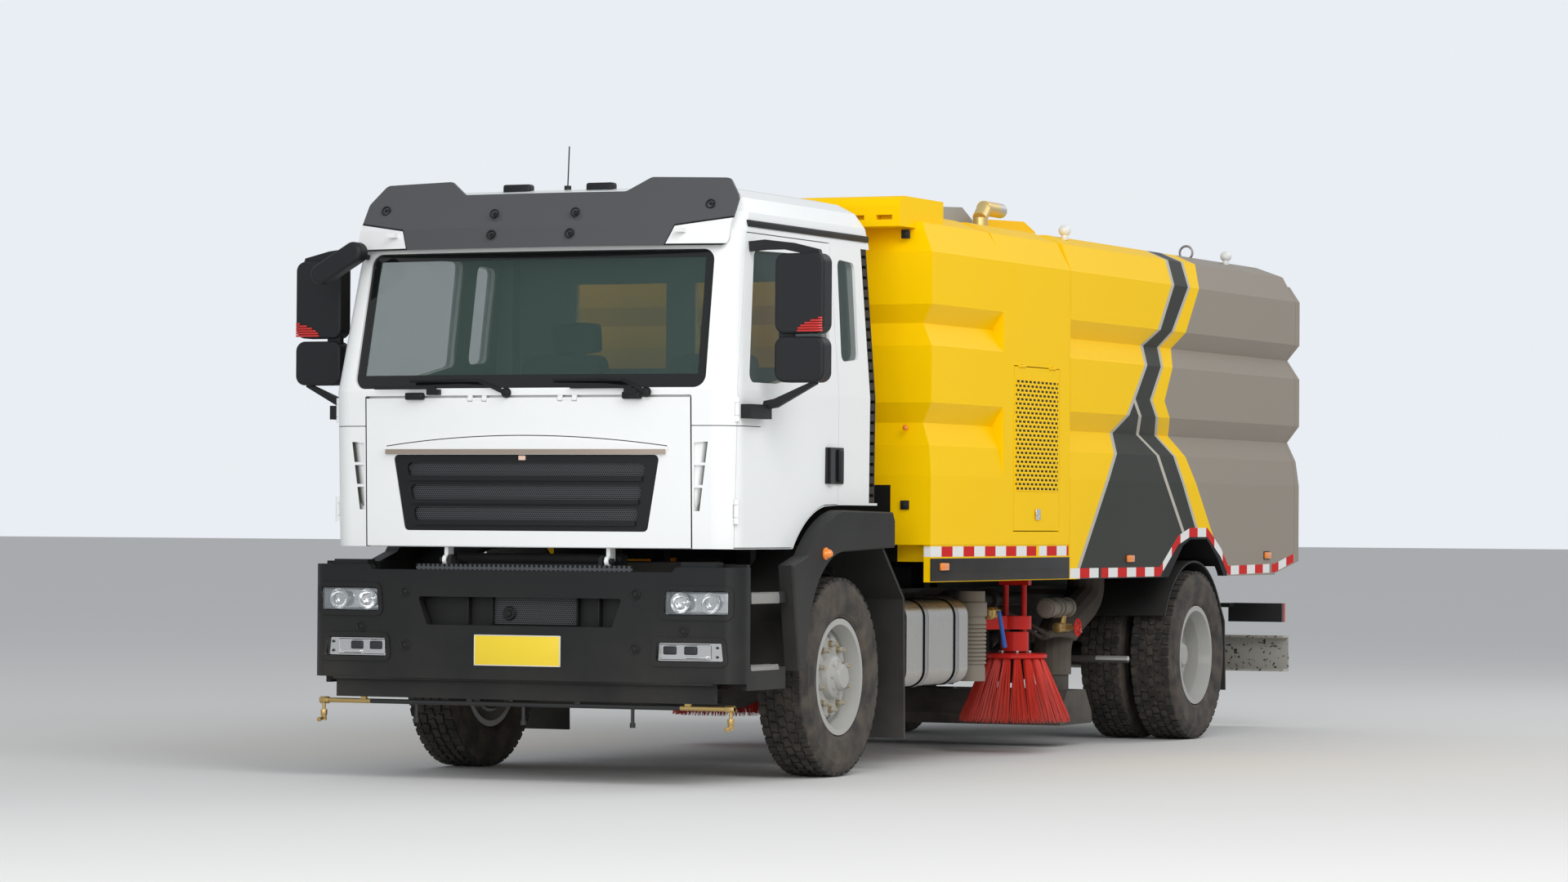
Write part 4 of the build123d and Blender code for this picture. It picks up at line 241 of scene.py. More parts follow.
def fluted(name, colour, rough=0.2, coat=0.6, flutes=180, depth=0.3):
    """Coloured plastic with upright flutes."""
    made = Finish(name, colour, rough, Coat_Weight=coat)
    made.bump(made.noise(flutes, 1, (1, 1, 0.1)), depth, 0.001)
    return made


cab_white = paint("cab_white", (0.84, 0.85, 0.84), 1.5, 0.08, 0.3, 0.4)
body_yellow = paint("body_yellow", YELLOW, 1.4, 0.05)
chassis_black = paint("chassis_black", CHASSIS_BLACK, 1.2, 0.55, 0.5, 0.1)
brush_red = paint("brush_red", (0.6, 0.02, 0.015), 0.9, 0.2, 0.35, 0.4)
rear_grey = paint("rear_grey", REAR_GREY, 1.4, 0.05)
rim_silver = paint("rim_silver", (0.42, 0.42, 0.4), 1.1, 0.5, 0.45, 0.2)
bumper_black = moulded("bumper_black", (0.008, 0.0085, 0.009), 0.5, 700, 1.1, 0.12)
flare_black = moulded("flare_black", (0.018, 0.018, 0.018), 0.6, 500, 1.3, 0.2)
mirror_black = moulded("mirror_black", (0.012, 0.013, 0.015), 0.5)
visor_grey = paint("visor_grey", (0.075, 0.077, 0.08), 1, 0.1, 0.35, 0.5)
dash_dark = moulded("dash_dark", (0.05, 0.05, 0.052), 0.7)
cast_grey = moulded("cast_grey", (0.1, 0.1, 0.098), 0.6, 150, 1.2, 0.5)
tank_silver = bare_metal("tank_silver", (0.52, 0.52, 0.51), 0.35, (30, 1, 1))
beam_steel = bare_metal("beam_steel", (0.42, 0.41, 0.39), 0.45, (1, 1, 20), 0.8, 0.4)
bright_chrome = bare_metal("bright_chrome", (0.75, 0.75, 0.75), 0.12, top=0.5, most=0)
spray_brass = bare_metal("spray_brass", BRASS, 0.4, top=0.6)
seat_cloth = moulded("seat_cloth", (0.06, 0.06, 0.065), 0.9, 1200)
bristle_red = moulded("bristle_red", (0.62, 0.035, 0.02), 0.5, 300, 0.6, 0.25)
print("paints ready:", len(bpy.data.materials))

# %% [markdown]
# ### Rubber, glass and lamps
# Tyres are brown with road dust on their walls and darker where the tread wears clean.
# Glass is a thin tinted sheet, so that the seats show behind it.

# %% Rubber, glass and lamps
TYRE_DUST, TREAD_DUST = (0.15, 0.115, 0.085), (0.13, 0.105, 0.08)
tyre_rubber = rubber("tyre_rubber", (0.028, 0.026, 0.024), 0.8, 9, (0.65, 0.35), TYRE_DUST, 120)
tread_rubber = rubber("tread_rubber", (0.02, 0.019, 0.018), 0.85, 14, (0.6, 0.4), TREAD_DUST, 200)
hose_rubber = moulded("hose_rubber", (0.055, 0.042, 0.033), 0.75, 90, 1.2, 0.5)
cab_glass = Finish("cab_glass", (0.06, 0.105, 0.09), 0.03, Specular_IOR_Level=0.5)
lamp_glass = Finish("lamp_glass", (0.55, 0.6, 0.63), 0.03, Alpha=0.14, Specular_IOR_Level=0.8)
lamp_silver = Finish("lamp_silver", (0.8, 0.8, 0.8), 0.12, Metallic=1)
mirror_glass = Finish("mirror_glass", (0.8, 0.82, 0.83), 0.02, Metallic=1)
amber_lens = fluted("amber_lens", (0.9, 0.25, 0.02))
red_lens = fluted("red_lens", (0.55, 0.015, 0.01))
pale_lens = fluted("pale_lens", (0.85, 0.6, 0.48), flutes=160)
roof_lens = fluted("lamp_pale", (0.78, 0.78, 0.75), 0.25, 0.5, 140, 0.2)
plate_yellow = Finish("plate_yellow", (0.85, 0.62, 0.03), 0.45)
plate_yellow.bump(plate_yellow.noise(40, 2), 0.05, 0.001)

# %% [markdown]
# ### The striped hopper
# One drawing runs over every fold: yellow, a dark band with pale pinstripes, a yellow edge and
# then grey. Each edge is a broken line of distance against height that bends at the folds, and
# the colours are laid on in order.

# %% Hopper paint
FOLDS = (1.045, 1.551, 1.709, 1.83, 1.936, 2.035, 2.237, 2.357, 2.456, 2.732, 2.89, 2.96)
BAND_FRONT = (3.066, 3.532, 3.708, 3.764, 3.866, 3.97, 4.171, 4.275, 4.398, 4.637, 4.758, 4.8)
BAND_REAR = (5.34, 4.889, 4.775, 4.577, 4.415, 4.313, 4.499, 4.616, 4.69, 4.974, 5.082, 5.12)
EDGE_REAR = (5.6, 5.097, 4.948, 4.771, 4.616, 4.522, 4.661, 4.814, 4.895, 5.133, 5.297, 5.34)
PIN_LINE = (5.06, 4.542, 4.433, 4.211, 4.075, 3.97, 4.08, 4.18, 4.3, 4.54, 4.66, 4.7)
STRIPE_DARK = (0.04, 0.043, 0.037)
PINSTRIPE = (0.5, 0.47, 0.4)
hopper_paint = Finish("hopper_paint", YELLOW, 0.4, Specular_IOR_Level=0.06, Coat_Weight=0.02)
across, behind, height = hopper_paint.place()
front_line, rear_line, edge_line, pin_line = [
    broken_line(height, FOLDS, spots) for spots in (BAND_FRONT, BAND_REAR, EDGE_REAR, PIN_LINE)]
for share, colour in (
        (behind > front_line, PINSTRIPE),
        (behind > front_line + 0.05, STRIPE_DARK),
        ((behind - pin_line).near(0.025, 0.025) * (height < 2.035), PINSTRIPE),
        (behind > rear_line - 0.045, PINSTRIPE),
        (behind > rear_line, YELLOW),
        (behind > edge_line, REAR_GREY),
        ((across.size() < 1.243) * (height < 1.29), UNDER_BLACK)):
    hopper_paint.wash(share, colour)
ripple(hopper_paint, 0.4)
dusty(hopper_paint, 1.4, 0.05)
print("hopper lines bend at", len(FOLDS), "levels")

# %% [markdown]
# ### Colours that change within one part
# Some parts carry two or three colours, such as the dark cab lining behind white skin. Each is a
# mask of position, measured as distance behind the front axle and height. Some masks paint shade
# and not colour: the shade in the cab's corner scoops, a shadow line above the grille's lip and
# the visor's shadow across the top of the windscreen.

# %% Masks on the cab and the body
across, behind, height = body_yellow.place()
body_yellow.wash((across.size() < 1.02) * (height < 1.5), UNDER_BLACK)

LINING, GRIP, SEAM = (0.15, 0.155, 0.15), (0.02, 0.02, 0.02), (0.03, 0.03, 0.03)
# Painted shade: the colour of the shaded corner scoops, and of the shadow line above the grille's lip.
SCOOP_SHADE, CREASE_SHADOW = (0.07, 0.075, 0.065), (0.05, 0.05, 0.05)
across, behind, height = cab_white.place()
flank = across.size()
upper = behind - 0.2138 * (height - 1.97) - 0.061 * across * across
lower = behind + 0.0282 * (height - 1.2) - 0.0592 * across * across
inside = (height > 1.95) * (upper > -1.345) + (height < 1.95) * (lower > -1.335)
narrowed = 1.06 - 0.09 * (height - 2.2).clamped()
middle = ((flank < 0.9) + (behind > -1.05)).clamped() * (flank < narrowed)
lining = inside * middle * (behind < 0.445) * (height > 1.24)
cab_white.wash(lining * (height < 2.8), LINING)
grip = (flank > 1.1215) * behind.near(-0.155, 0.028) * height.near(1.588, 0.098)
cab_white.wash(grip, GRIP)
flap_seam = flank.within(0.8995, 0.9065) * (height < 1.915) * (behind < -1.2)
corner_seam = height.near(1.768, 0.0022) * (flank > 0.9065) * (behind < -1)
cab_white.wash((flap_seam + corner_seam).clamped(), SEAM)
# The corner scoops are not cut in the shell. Painted shade draws each recess, darkest near its outer edge,
# with the two ribs left white.
scoop_edge = 0.95 + 0.131 * (height - 1.4)
scoop_shade = ((flank - scoop_edge + 0.034) * 36).clamped() * (flank < scoop_edge + 0.0005)
scoop_shade = scoop_shade * height.within(1.35, 1.689) * (behind < -1.15)
ribs = (height.near(1.47, 0.008) + height.near(1.58, 0.008)).clamped()
cab_white.wash(scoop_shade * (1 - ribs), SCOOP_SHADE)
# A thin painted shadow line runs along the crease above the grille's lip, higher in the middle.
shadow_line = height - 1.668 - 0.052 * (1 - (across / 0.78) * (across / 0.78))
cab_white.wash((shadow_line.size() < 0.0025) * (flank < 0.78) * (behind < -1.3), CREASE_SHADOW)

across, behind, height = cab_glass.place()
# The glass is painted near-black and opaque round its edges. At the sides and the bottom this is its black
# border, and the band along the top is painted shadow from the visor.
side_edge = across.size() > 1.0138 - 0.0292 * height - 0.03
border_and_visor_shadow = (side_edge + (height < 2.022) + (height > 2.6)).clamped() * (behind < -1.1)
cab_glass.wash(border_and_visor_shadow, (0.008, 0.009, 0.009))
cab_glass.set("Alpha", 0.32 + 0.68 * border_and_visor_shadow)

across, behind, height = visor_grey.place()
flank, slant = across.size(), 0.4 * (height - 2.66)
top_edge = 2.748 + 0.145 * (flank - 0.73)
white_end = (flank > 0.722 + slant) * (height < top_edge) * (height > 2.664)
visor_grey.wash((flank > 0.716 + slant) * (height < top_edge + 0.01), (0.01, 0.01, 0.01))
visor_grey.wash(white_end * (flank < 1.06), (0.8, 0.8, 0.79))

# %% Masks on bars, tanks and pipes
bar_paint = bare_metal("bar_paint", BRASS, 0.4, top=0.6)
# Painted shade: the bar's middle, behind the bumper's black lip, is near-black and not metallic, so only
# its ends show brass.
middle = bar_paint.place()[0].size() < 0.86
bar_paint.wash(middle, (0.015, 0.015, 0.015))
bar_paint.set("Metallic", 0.9 - 0.9 * middle)

tail_paint = Finish("tail_paint", (0.02, 0.02, 0.02), 0.4)
across, behind, height = tail_paint.place()
tail_paint.wash((behind > 6.995) * (across.size() > 0.83), (0.55, 0.015, 0.01))

strapped_tank = bare_metal("strapped_tank", (0.52, 0.51, 0.49), 0.3, (30, 1, 1))
across, behind, height = strapped_tank.place()
for strap in (1.142, 1.57):
    strapped_tank.wash(behind.near(strap, 0.04), (0.025, 0.025, 0.025))
    strapped_tank.wash(behind.near(strap, 0.02), (0.36, 0.36, 0.36))

vent_paint = paint("vent_paint", (0.36, 0.37, 0.38), 1, 0.1)
across, behind, height = vent_paint.place()
elbow = across.near(0.84, 0.06) * (behind > 2.54) * (height > 2.955)
vent_paint.wash(elbow * (behind < 2.8), (0.8, 0.6, 0.26))
vent_paint.wash(elbow * (behind > 2.8), (0.62, 0.6, 0.56))
vent_paint.wash(elbow * (behind > 2.889), (0.01, 0.01, 0.01))
vent_paint.set("Metallic", elbow * 0.85)

pipe_paint = paint("pipe_paint", CHASSIS_BLACK, 1.2, 0.55, 0.5)
across, behind, height = pipe_paint.place()
link = height.near(0.53, 0.035) * (behind > 3.6) * (across.size() > 0.9)
pipe_paint.wash(link, (0.7, 0.7, 0.68))
pipe_paint.set("Metallic", link * 0.8)

galvanised = bare_metal("galvanised", (0.46, 0.445, 0.4), 0.45, (1, 1, 20), 0.8, 0.4)
galvanised.set("Metallic", 0.2)
galvanised.wash(galvanised.noise(42, 2) > 0.63, (0.04, 0.04, 0.04))

# %% [markdown]
# ### Coats for the model's own parts
# The CAD nodes keep their shapes, so each only needs its finish. Here and below a star in a name
# stands for left and right.

# %% Coat the nodes
SIDES = {"left": 1, "right": -1}
COATS = {
    cab_white: "cab_shell door_* front_flap",
    body_yellow: "body_module access_door_*",
    hopper_paint: "tank_bed",
    rear_grey: "tank_door",
    vent_paint: "roof_vent",
    visor_grey: "visor",
    bumper_black: "front_bumper grille cab_steps wipers",
    mirror_black: "mirror_* kerb_mirror cab_corner_panels",
    flare_black: "front_mudguards rear_mudguards",
    dash_dark: "dashboard",
    seat_cloth: "seats",
    chassis_black: "chassis_frame front_axle rear_axle steering_knuckle_* battery_boxes "
                   "air_tanks suction_head lift_barrel",
    pipe_paint: "water_pipes",
    cast_grey: "engine_and_gearbox auxiliary_engine",
    strapped_tank: "fuel_tank",
    tank_silver: "exhaust_silencer",
    galvanised: "rear_underrun",
    bright_chrome: "lift_rod",
    bar_paint: "front_spray_bar",
    rim_silver: "front_rim_* rear_rims_*",
    tyre_rubber: "front_tyre_* rear_tyres_*",
    hose_rubber: "suction_hose",
    brush_red: "brush_arm_* brush_carrier_*",
    bristle_red: "brush_*",
    cab_glass: "cab_glass door_glass_*",
    lamp_glass: "front_lamps",
    tail_paint: "tail_lamps",
}
bare = set(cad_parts)
for finish, names in COATS.items():
    for node in {name.replace("*", side) for name in names.split() for side in SIDES}:
        bare.remove(node)
        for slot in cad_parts[node].material_slots:
            slot.material = finish.material
print("nodes without a coat:", sorted(bare))

# %% [markdown]
# ## Modelling by hand, in code
# Every new piece starts as a primitive of the right size in the right place, measured behind the
# front axle. Edit-mode operators and modifiers shape it. One closing step applies them, turns
# the faces outwards, coats the piece and hands it to the body that it moves with.

# %% Modelling helpers
def at(across, behind, height):
    """A point given by its distance behind the front axle."""
    return (across, FRONT_AXLE + behind, height)


def only(piece):
    """Select a piece alone and make it active."""
    bpy.ops.object.select_all(action="DESELECT")
    piece.select_set(True)
    bpy.context.view_layer.objects.active = piece


def edit_all():
    bpy.ops.object.mode_set(mode="EDIT")
    bpy.ops.mesh.select_all(action="SELECT")


def edit_some(piece, parts, chosen):
    """Edit a piece with only those of its faces or edges selected that a test picks."""
    only(piece)
    bpy.ops.object.mode_set(mode="EDIT")
    bpy.ops.mesh.select_all(action="DESELECT")
    bpy.ops.object.mode_set(mode="OBJECT")
    for part in getattr(piece.data, parts):
        part.select = chosen(part)
    bpy.ops.object.mode_set(mode="EDIT")


def placed(piece):
    """Leave edit mode and put the piece's place in its mesh."""
    bpy.ops.object.mode_set(mode="OBJECT")
    bpy.ops.object.transform_apply()
    return piece


def softened(edge, steps=2):
    """The active piece with its sharp edges rounded."""
    piece = bpy.context.object
    if edge:
        bpy.ops.object.modifier_add(type="BEVEL")
        soft = piece.modifiers[-1]
        soft.width, soft.segments, soft.limit_method = edge, steps, "ANGLE"
    return piece


def block(low, high, edge=0.003, steps=2):
    """A box between two corners with softened edges."""
    bpy.ops.mesh.primitive_cube_add(size=1, location=[(a + b) / 2 for a, b in zip(low, high)])
    bpy.context.object.scale = [abs(b - a) for a, b in zip(low, high)]
    bpy.ops.object.transform_apply()
    return softened(edge, steps)


def bar(start, end, radius, sides=20, edge=0, tip=None):
    """A round bar between two points; tip gives a different radius at its far end."""
    start, end = Vector(start), Vector(end)
    run = end - start
    bpy.ops.mesh.primitive_cone_add(
        vertices=sides, radius1=radius, radius2=radius if tip is None else tip, depth=run.length,
        location=(start + end) / 2, rotation=run.to_track_quat("Z", "Y").to_euler())
    bpy.ops.object.transform_apply()
    return softened(edge)


def bars(*rows):
    """Bars from rows of what bar takes, their ends measured behind the front axle."""
    return [bar(at(*start), at(*end), *rest) for start, end, *rest in rows]


def ball(centre, radius, scale=(1, 1, 1)):
    bpy.ops.mesh.primitive_uv_sphere_add(segments=20, ring_count=12, radius=radius, location=centre)
    bpy.context.object.scale = scale
    bpy.ops.object.transform_apply()
    return bpy.context.object


def drawn(points):
    """A line of edges through points, extruded from a single vertex, left in edit mode."""
    bpy.ops.mesh.primitive_plane_add(size=0.001, location=points[0])
    bpy.ops.object.mode_set(mode="EDIT")
    bpy.ops.mesh.merge(type="CENTER")
    for near, far in zip(points, points[1:]):
        step = Vector(far) - Vector(near)
        bpy.ops.mesh.extrude_region_move(TRANSFORM_OT_translate={"value": step})
    bpy.ops.mesh.select_all(action="SELECT")
    return bpy.context.object


def turned(profile, centre, axis=(1, 0, 0), steps=72):
    """A profile of (distance along the axis, radius) spun round the axis through centre."""
    axis, centre = Vector(axis), Vector(centre)
    out = Vector((0, 0, 1)) if abs(axis.z) < 0.5 else Vector((1, 0, 0))
    points = [centre + axis * along + out * radius for along, radius in profile]
    made = drawn([*points, points[0]])
    bpy.ops.mesh.spin(steps=steps, angle=2 * pi, center=centre, axis=axis)
    bpy.ops.mesh.select_all(action="SELECT")
    bpy.ops.mesh.remove_doubles(threshold=0.00002)
    bpy.ops.mesh.normals_make_consistent(inside=False)
    return placed(made)


def bowed_sheet(face, left, right, low, high, thick, steps):
    """A sheet between two heights on a face, given as distance behind the axle for each x."""
    stops = [left + (right - left) * step / steps for step in range(steps + 1)]
    sheet = drawn([at(across, face(across), low) for across in stops])
    bpy.ops.mesh.extrude_region_move(TRANSFORM_OT_translate={"value": (0, 0, high - low)})
    placed(sheet)
    bpy.ops.object.modifier_add(type="SOLIDIFY")
    sheet.modifiers[-1].thickness, sheet.modifiers[-1].offset = thick, 0
    return sheet


def apply_all(piece):
    """Select a piece alone and apply its modifiers."""
    only(piece)
    for modifier in list(piece.modifiers):
        bpy.ops.object.modifier_apply(modifier=modifier.name)


def row_of(piece, step, count, guide=None):
    """Repeat a piece by a step, or by the turn of a guide object."""
    only(piece)
    bpy.ops.object.modifier_add(type="ARRAY")
    array = piece.modifiers[-1]
    array.count, array.use_relative_offset = count, False
    array.use_constant_offset, array.constant_offset_displace = guide is None, step
    array.use_object_offset, array.offset_object = guide is not None, guide
    apply_all(piece)
    return piece


def ring_of(piece, centre, axis, count):
    """Repeat a piece evenly round an axis through centre."""
    bpy.context.scene.cursor.location = centre
    bpy.ops.object.origin_set(type="ORIGIN_CURSOR")
    bpy.ops.object.empty_add(location=centre)
    guide = bpy.context.object
    guide.rotation_mode = "QUATERNION"
    guide.rotation_quaternion = Matrix.Rotation(2 * pi / count, 3, Vector(axis)).to_quaternion()
    bpy.context.view_layer.update()
    row_of(piece, (0, 0, 0), count, guide)
    bpy.data.objects.remove(guide)
    bpy.ops.object.transform_apply()
    return piece


def joined(pieces):
    """Several pieces made one, each with its modifiers applied first."""
    for piece in pieces:
        apply_all(piece)
    for piece in pieces:
        piece.select_set(True)
    bpy.context.view_layer.objects.active = pieces[0]
    bpy.ops.object.join()
    return bpy.context.object


def moved(piece, move=(0, 0, 0), side=1, turn=0):
    """A piece taken to a place; side -1 mirrors it and turn rolls it like a wheel."""
    only(piece)
    piece.scale.x, piece.rotation_euler.x, piece.location = side, turn, move
    bpy.ops.object.transform_apply()
    return piece


def copy_of(piece, move=(0, 0, 0), side=1):
    only(piece)
    bpy.ops.object.duplicate()
    return moved(bpy.context.object, move, side)


def hand_over(made, name, finish, slot, body="chassis", stands_for=(), smooth=35, outward=True):
    """Close a piece or a list of them, as a left and right pair if its name has a star."""
    piece = joined(made) if isinstance(made, list) else made
    apply_all(piece)
    if "*" in name:
        twin = copy_of(piece, side=-1)
        for one, side in ((piece, "left"), (twin, "right")):
            own = [text.replace("*", side) for text in (name, slot, body, *stands_for)]
            hand_over(one, own[0], finish, own[1], own[2], own[3:], smooth, outward)
        return
    bpy.ops.object.transform_apply()
    if outward:
        edit_all()
        bpy.ops.mesh.normals_make_consistent(inside=False)
        bpy.ops.object.mode_set(mode="OBJECT")
    bpy.ops.object.shade_smooth_by_angle(angle=radians(smooth))
    piece.name = piece.data.name = name
    piece.data.materials.clear()
    piece.data.materials.append(finish.material)
    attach(piece, body)
    if stands_for:
        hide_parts(*stands_for)


# %% [markdown]
# ## Tyres
# The model's tyre is a smooth ring of the right size. The real one has a rounded wall with ribs
# and five rows of rubber blocks. The wall is one profile spun round the axle. One block of each
# row is modelled and repeated, and its top ends at the model's radius, on the road.

# %% One tyre
CENTRE, WHEEL_HEIGHT = (0, 0, 0), 0.51
OUTWARD, FORWARD, BACKWARD, UPWARD = (1, 0, 0), (0, -1, 0), (0, 1, 0), (0, 0, 1)
WALL = ((0.08, 0.2815), (0.0985, 0.2815), (0.1005, 0.301), (0.118, 0.305), (0.125, 0.318),
        (0.1285, 0.322), (0.129, 0.33), (0.134, 0.345), (0.1385, 0.375), (0.1392, 0.405),
        (0.1365, 0.44), (0.1375, 0.444), (0.1355, 0.45), (0.129, 0.47), (0.1215, 0.486),
        (0.112, 0.4955))
far_wall = [(-along, radius) for along, radius in reversed(WALL)]
carcass = turned([*WALL, *far_wall, (-0.06, 0.36), (0, 0.43), (0.06, 0.36)], CENTRE)
BLOCKS, BLOCK_FOOT, BLOCK_TOP = 50, 0.488, 0.51
EDGE_ROW, NEXT_ROW = (0.043, 0.046, 0, 0), (0.036, 0.051, 0.5, 0.18)
ROWS = ((0.097, *EDGE_ROW), (0.0485, *NEXT_ROW), (0, 0.034, 0.05, 0, -0.22),
        (-0.0485, *NEXT_ROW), (-0.097, *EDGE_ROW))
rows = []
for along, width, length, shift, skew in ROWS:
    drop = 0.0035 if abs(along) > 0.08 else 0
    lug = block((along - width / 2, -length / 2, BLOCK_FOOT - drop),
                (along + width / 2, length / 2, BLOCK_TOP - drop), 0.0025, 1)
    apply_all(lug)
    edit_all()
    bpy.ops.transform.rotate(value=skew, orient_axis="Z", center_override=(along, 0, 0.5))
    bpy.ops.transform.rotate(value=2 * pi / BLOCKS * shift, orient_axis="X", center_override=CENTRE)
    bpy.ops.object.mode_set(mode="OBJECT")
    rows.append(ring_of(lug, CENTRE, OUTWARD, BLOCKS))
tread = joined(rows)
print("tread faces", len(tread.data.polygons), "wall faces", len(carcass.data.polygons))

# %% Six tyres
REAR = ("rear_wheels_*", "rear_tyres_*", REAR_AXLE)
TYRES = (("front_tyre_*", "front_wheel_*", "front_tyre_*", FRONT_AXLE, 1),
         ("rear_tyre_*_outer", *REAR, 1.1), ("rear_tyre_*_inner", *REAR, 0.78))
for *names, axle, across in TYRES:
    for word, side in SIDES.items():
        name, body, node = [text.replace("*", word) for text in names]
        place = (side * across, axle, WHEEL_HEIGHT)
        wall = copy_of(carcass, place)
        hand_over(wall, f"{name}_wall", tyre_rubber, node, body, (node,), 30, False)
        hand_over(copy_of(tread, place), f"{name}_tread", tread_rubber, node, body, (), 20, False)
bpy.data.objects.remove(carcass)
bpy.data.objects.remove(tread)

# %% [markdown]
# ## Wheel fittings
# Ten capped nuts stand on each rim, round a hub with its own ring of small bolts and a domed
# grease cap. The rear hubs sit deep in the dish.

# %% Nuts and hub caps
nut_brass = bare_metal("nut_brass", (0.5, 0.41, 0.25), 0.4, top=1.1, most=0.4)
NUTS, NUT_CIRCLE, NUT_SIZE, HUB_BOLTS = 10, 0.1675, 0.0175, 8
RIGHT_FRONT_TURN = pi / NUTS
FRONT_HUB = ((0, 0), (0, 0.085), (0.006, 0.092), (0.012, 0.088), (0.016, 0.072), (0.04, 0.066),
             (0.05, 0.055), (0.054, 0))
REAR_HUB = ((0, 0), (0, 0.098), (0.01, 0.102), (0.014, 0.095), (0.07, 0.08), (0.09, 0.06), (0.094, 0))
ENDS = (("front", "front_wheel_", "front_rim_", FRONT_AXLE, 1.0635, 1.095, FRONT_HUB, 0.08, 0.022),
        ("rear", "rear_wheels_", "rear_rims_", REAR_AXLE, 0.9555, 1.055, REAR_HUB, 0.088, 0.026))


def wheel_bar(start, end, circle, *rest):
    """A bar parallel to the axle, at the top of a circle round it."""
    return bar((start, 0, circle), (end, 0, circle), *rest)


for word, side in SIDES.items():
    for end, body, rim, axle, nut_face, hub_face, profile, circle, bolt_end in ENDS:
        nut = joined([wheel_bar(0, 0.016, NUT_CIRCLE, NUT_SIZE, 6, 0.0015),
                      wheel_bar(-0.001, 0.003, NUT_CIRCLE, NUT_SIZE * 1.25),
                      wheel_bar(0.014, 0.042, NUT_CIRCLE, NUT_SIZE * 0.72, 14, 0.003, NUT_SIZE * 0.6)])
        nuts = ring_of(nut, CENTRE, OUTWARD, NUTS)
        turn = RIGHT_FRONT_TURN if side < 0 and end == "front" else 0
        moved(nuts, (side * nut_face, axle, WHEEL_HEIGHT), side, turn)
        hand_over(nuts, f"{end}_nuts_{word}", nut_brass, rim + word, body + word)
        hub = turned(profile, CENTRE, steps=48)
        bolts = ring_of(wheel_bar(0.01, bolt_end, circle, 0.007, 6, 0.001), CENTRE, OUTWARD, HUB_BOLTS)
        hub = moved(joined([hub, bolts]), (side * hub_face, axle, WHEEL_HEIGHT), side)
        hand_over(hub, f"{end}_hub_{word}", rim_silver, rim + word, body + word)
print("wheels dressed")

# %% [markdown]
# ## Lamps in the bumper
# Each upper lamp is a clear cover over two round reflectors, the inner one with its bulb in view
# and the outer one behind upright flutes. The cover follows the bumper's bow.

# %% Headlamps
BOWL = ((0, 0), (0.002, 0.018), (0.01, 0.033), (0.024, 0.044), (0.038, 0.0485), (0.038, 0.0515),
        (0.022, 0.047), (0.007, 0.035), (-0.003, 0.019), (-0.003, 0))
plate_edge = moulded("plate_edge", (0.72, 0.7, 0.62), 0.4, 300, 1, 0.1)
lamp_dark = moulded("lamp_dark", (0.03, 0.032, 0.035), 0.35, 90, 0.3, 0.1)


def bumper_face(across, inset=0):
    """Distance behind the front axle of the bumper's bowed face."""
    return -1.42 + 0.04 * (across / 1.19) ** 2 + inset


def on_bumper(across, height, inset=0):
    return at(across, bumper_face(across, inset), height)


bowls = [turned(BOWL, at(across, -1.345, 0.901), FORWARD, 48) for across in (0.868, 1.03)]
bulb = [bar(at(0.868, -1.344, 0.901), at(0.868, -1.366, 0.901), 0.009, 16),
        ball(at(0.868, -1.366, 0.901), 0.009)]
flutes = row_of(bar(at(0.928, -1.38, 0.851), at(0.928, -1.38, 0.951), 0.0045, 10), (0.0105, 0, 0), 18)
back = block(at(0.794, -1.347, 0.844), at(1.126, -1.341, 0.958), 0.002)
hand_over([*bowls, *bulb, back], "headlamp_bowls_*", lamp_silver, "front_lamps")
cover = bowed_sheet(lambda x: bumper_face(x, 0.01), 0.796, 1.124, 0.846, 0.956, 0.004, 6)
hand_over([cover, flutes], "headlamp_cover_*", lamp_glass, "front_lamps", "chassis", ("front_lamps",))

# %% [markdown]
# The lower lamp is a bright moulded plate with two dark rounded eyes, a bar between them and
# a screwed end plate.

# %% Fog lamps
plate = bowed_sheet(lambda x: bumper_face(x, 0.022), 0.752, 1.098, 0.619, 0.706, 0.008, 6)
LOW_IN, HIGH_IN, LOW_OUT, HIGH_OUT = (0.764, 0.628), (0.764, 0.697), (1.03, 0.628), (1.03, 0.697)
RIM_BARS = ((LOW_IN, HIGH_IN), (LOW_OUT, HIGH_OUT), (LOW_IN, LOW_OUT), (HIGH_IN, HIGH_OUT))
rim = [bar(on_bumper(*one, 0.015), on_bumper(*two, 0.015), 0.004, 10) for one, two in RIM_BARS]
screws = [bar(on_bumper(1.066, height, 0.02), on_bumper(1.066, height, 0.01), 0.007, 6, 0.001)
          for height in (0.64, 0.685)]
centre_bar = block(at(0.9, -1.392, 0.634), at(1.018, -1.38, 0.643), 0.002)
hand_over([plate, *rim, centre_bar], "fog_lamp_plate_*", lamp_silver, "front_lamps")
eyes = [block(at(x - 0.034, bumper_face(x, 0.008), 0.649),
              at(x + 0.034, bumper_face(x, 0.022), 0.69), 0.012, 4) for x in (0.815, 0.925)]
hand_over([*eyes, *screws], "fog_lamp_eyes_*", lamp_dark, "front_lamps")

# %% [markdown]
# ## Bumper trim
# Cap screws sit in round recesses, which a ring and a hexagon show. A plain yellow plate hangs
# below, and a strip with a row of round holes, drawn as dark spots, closes the gap above.

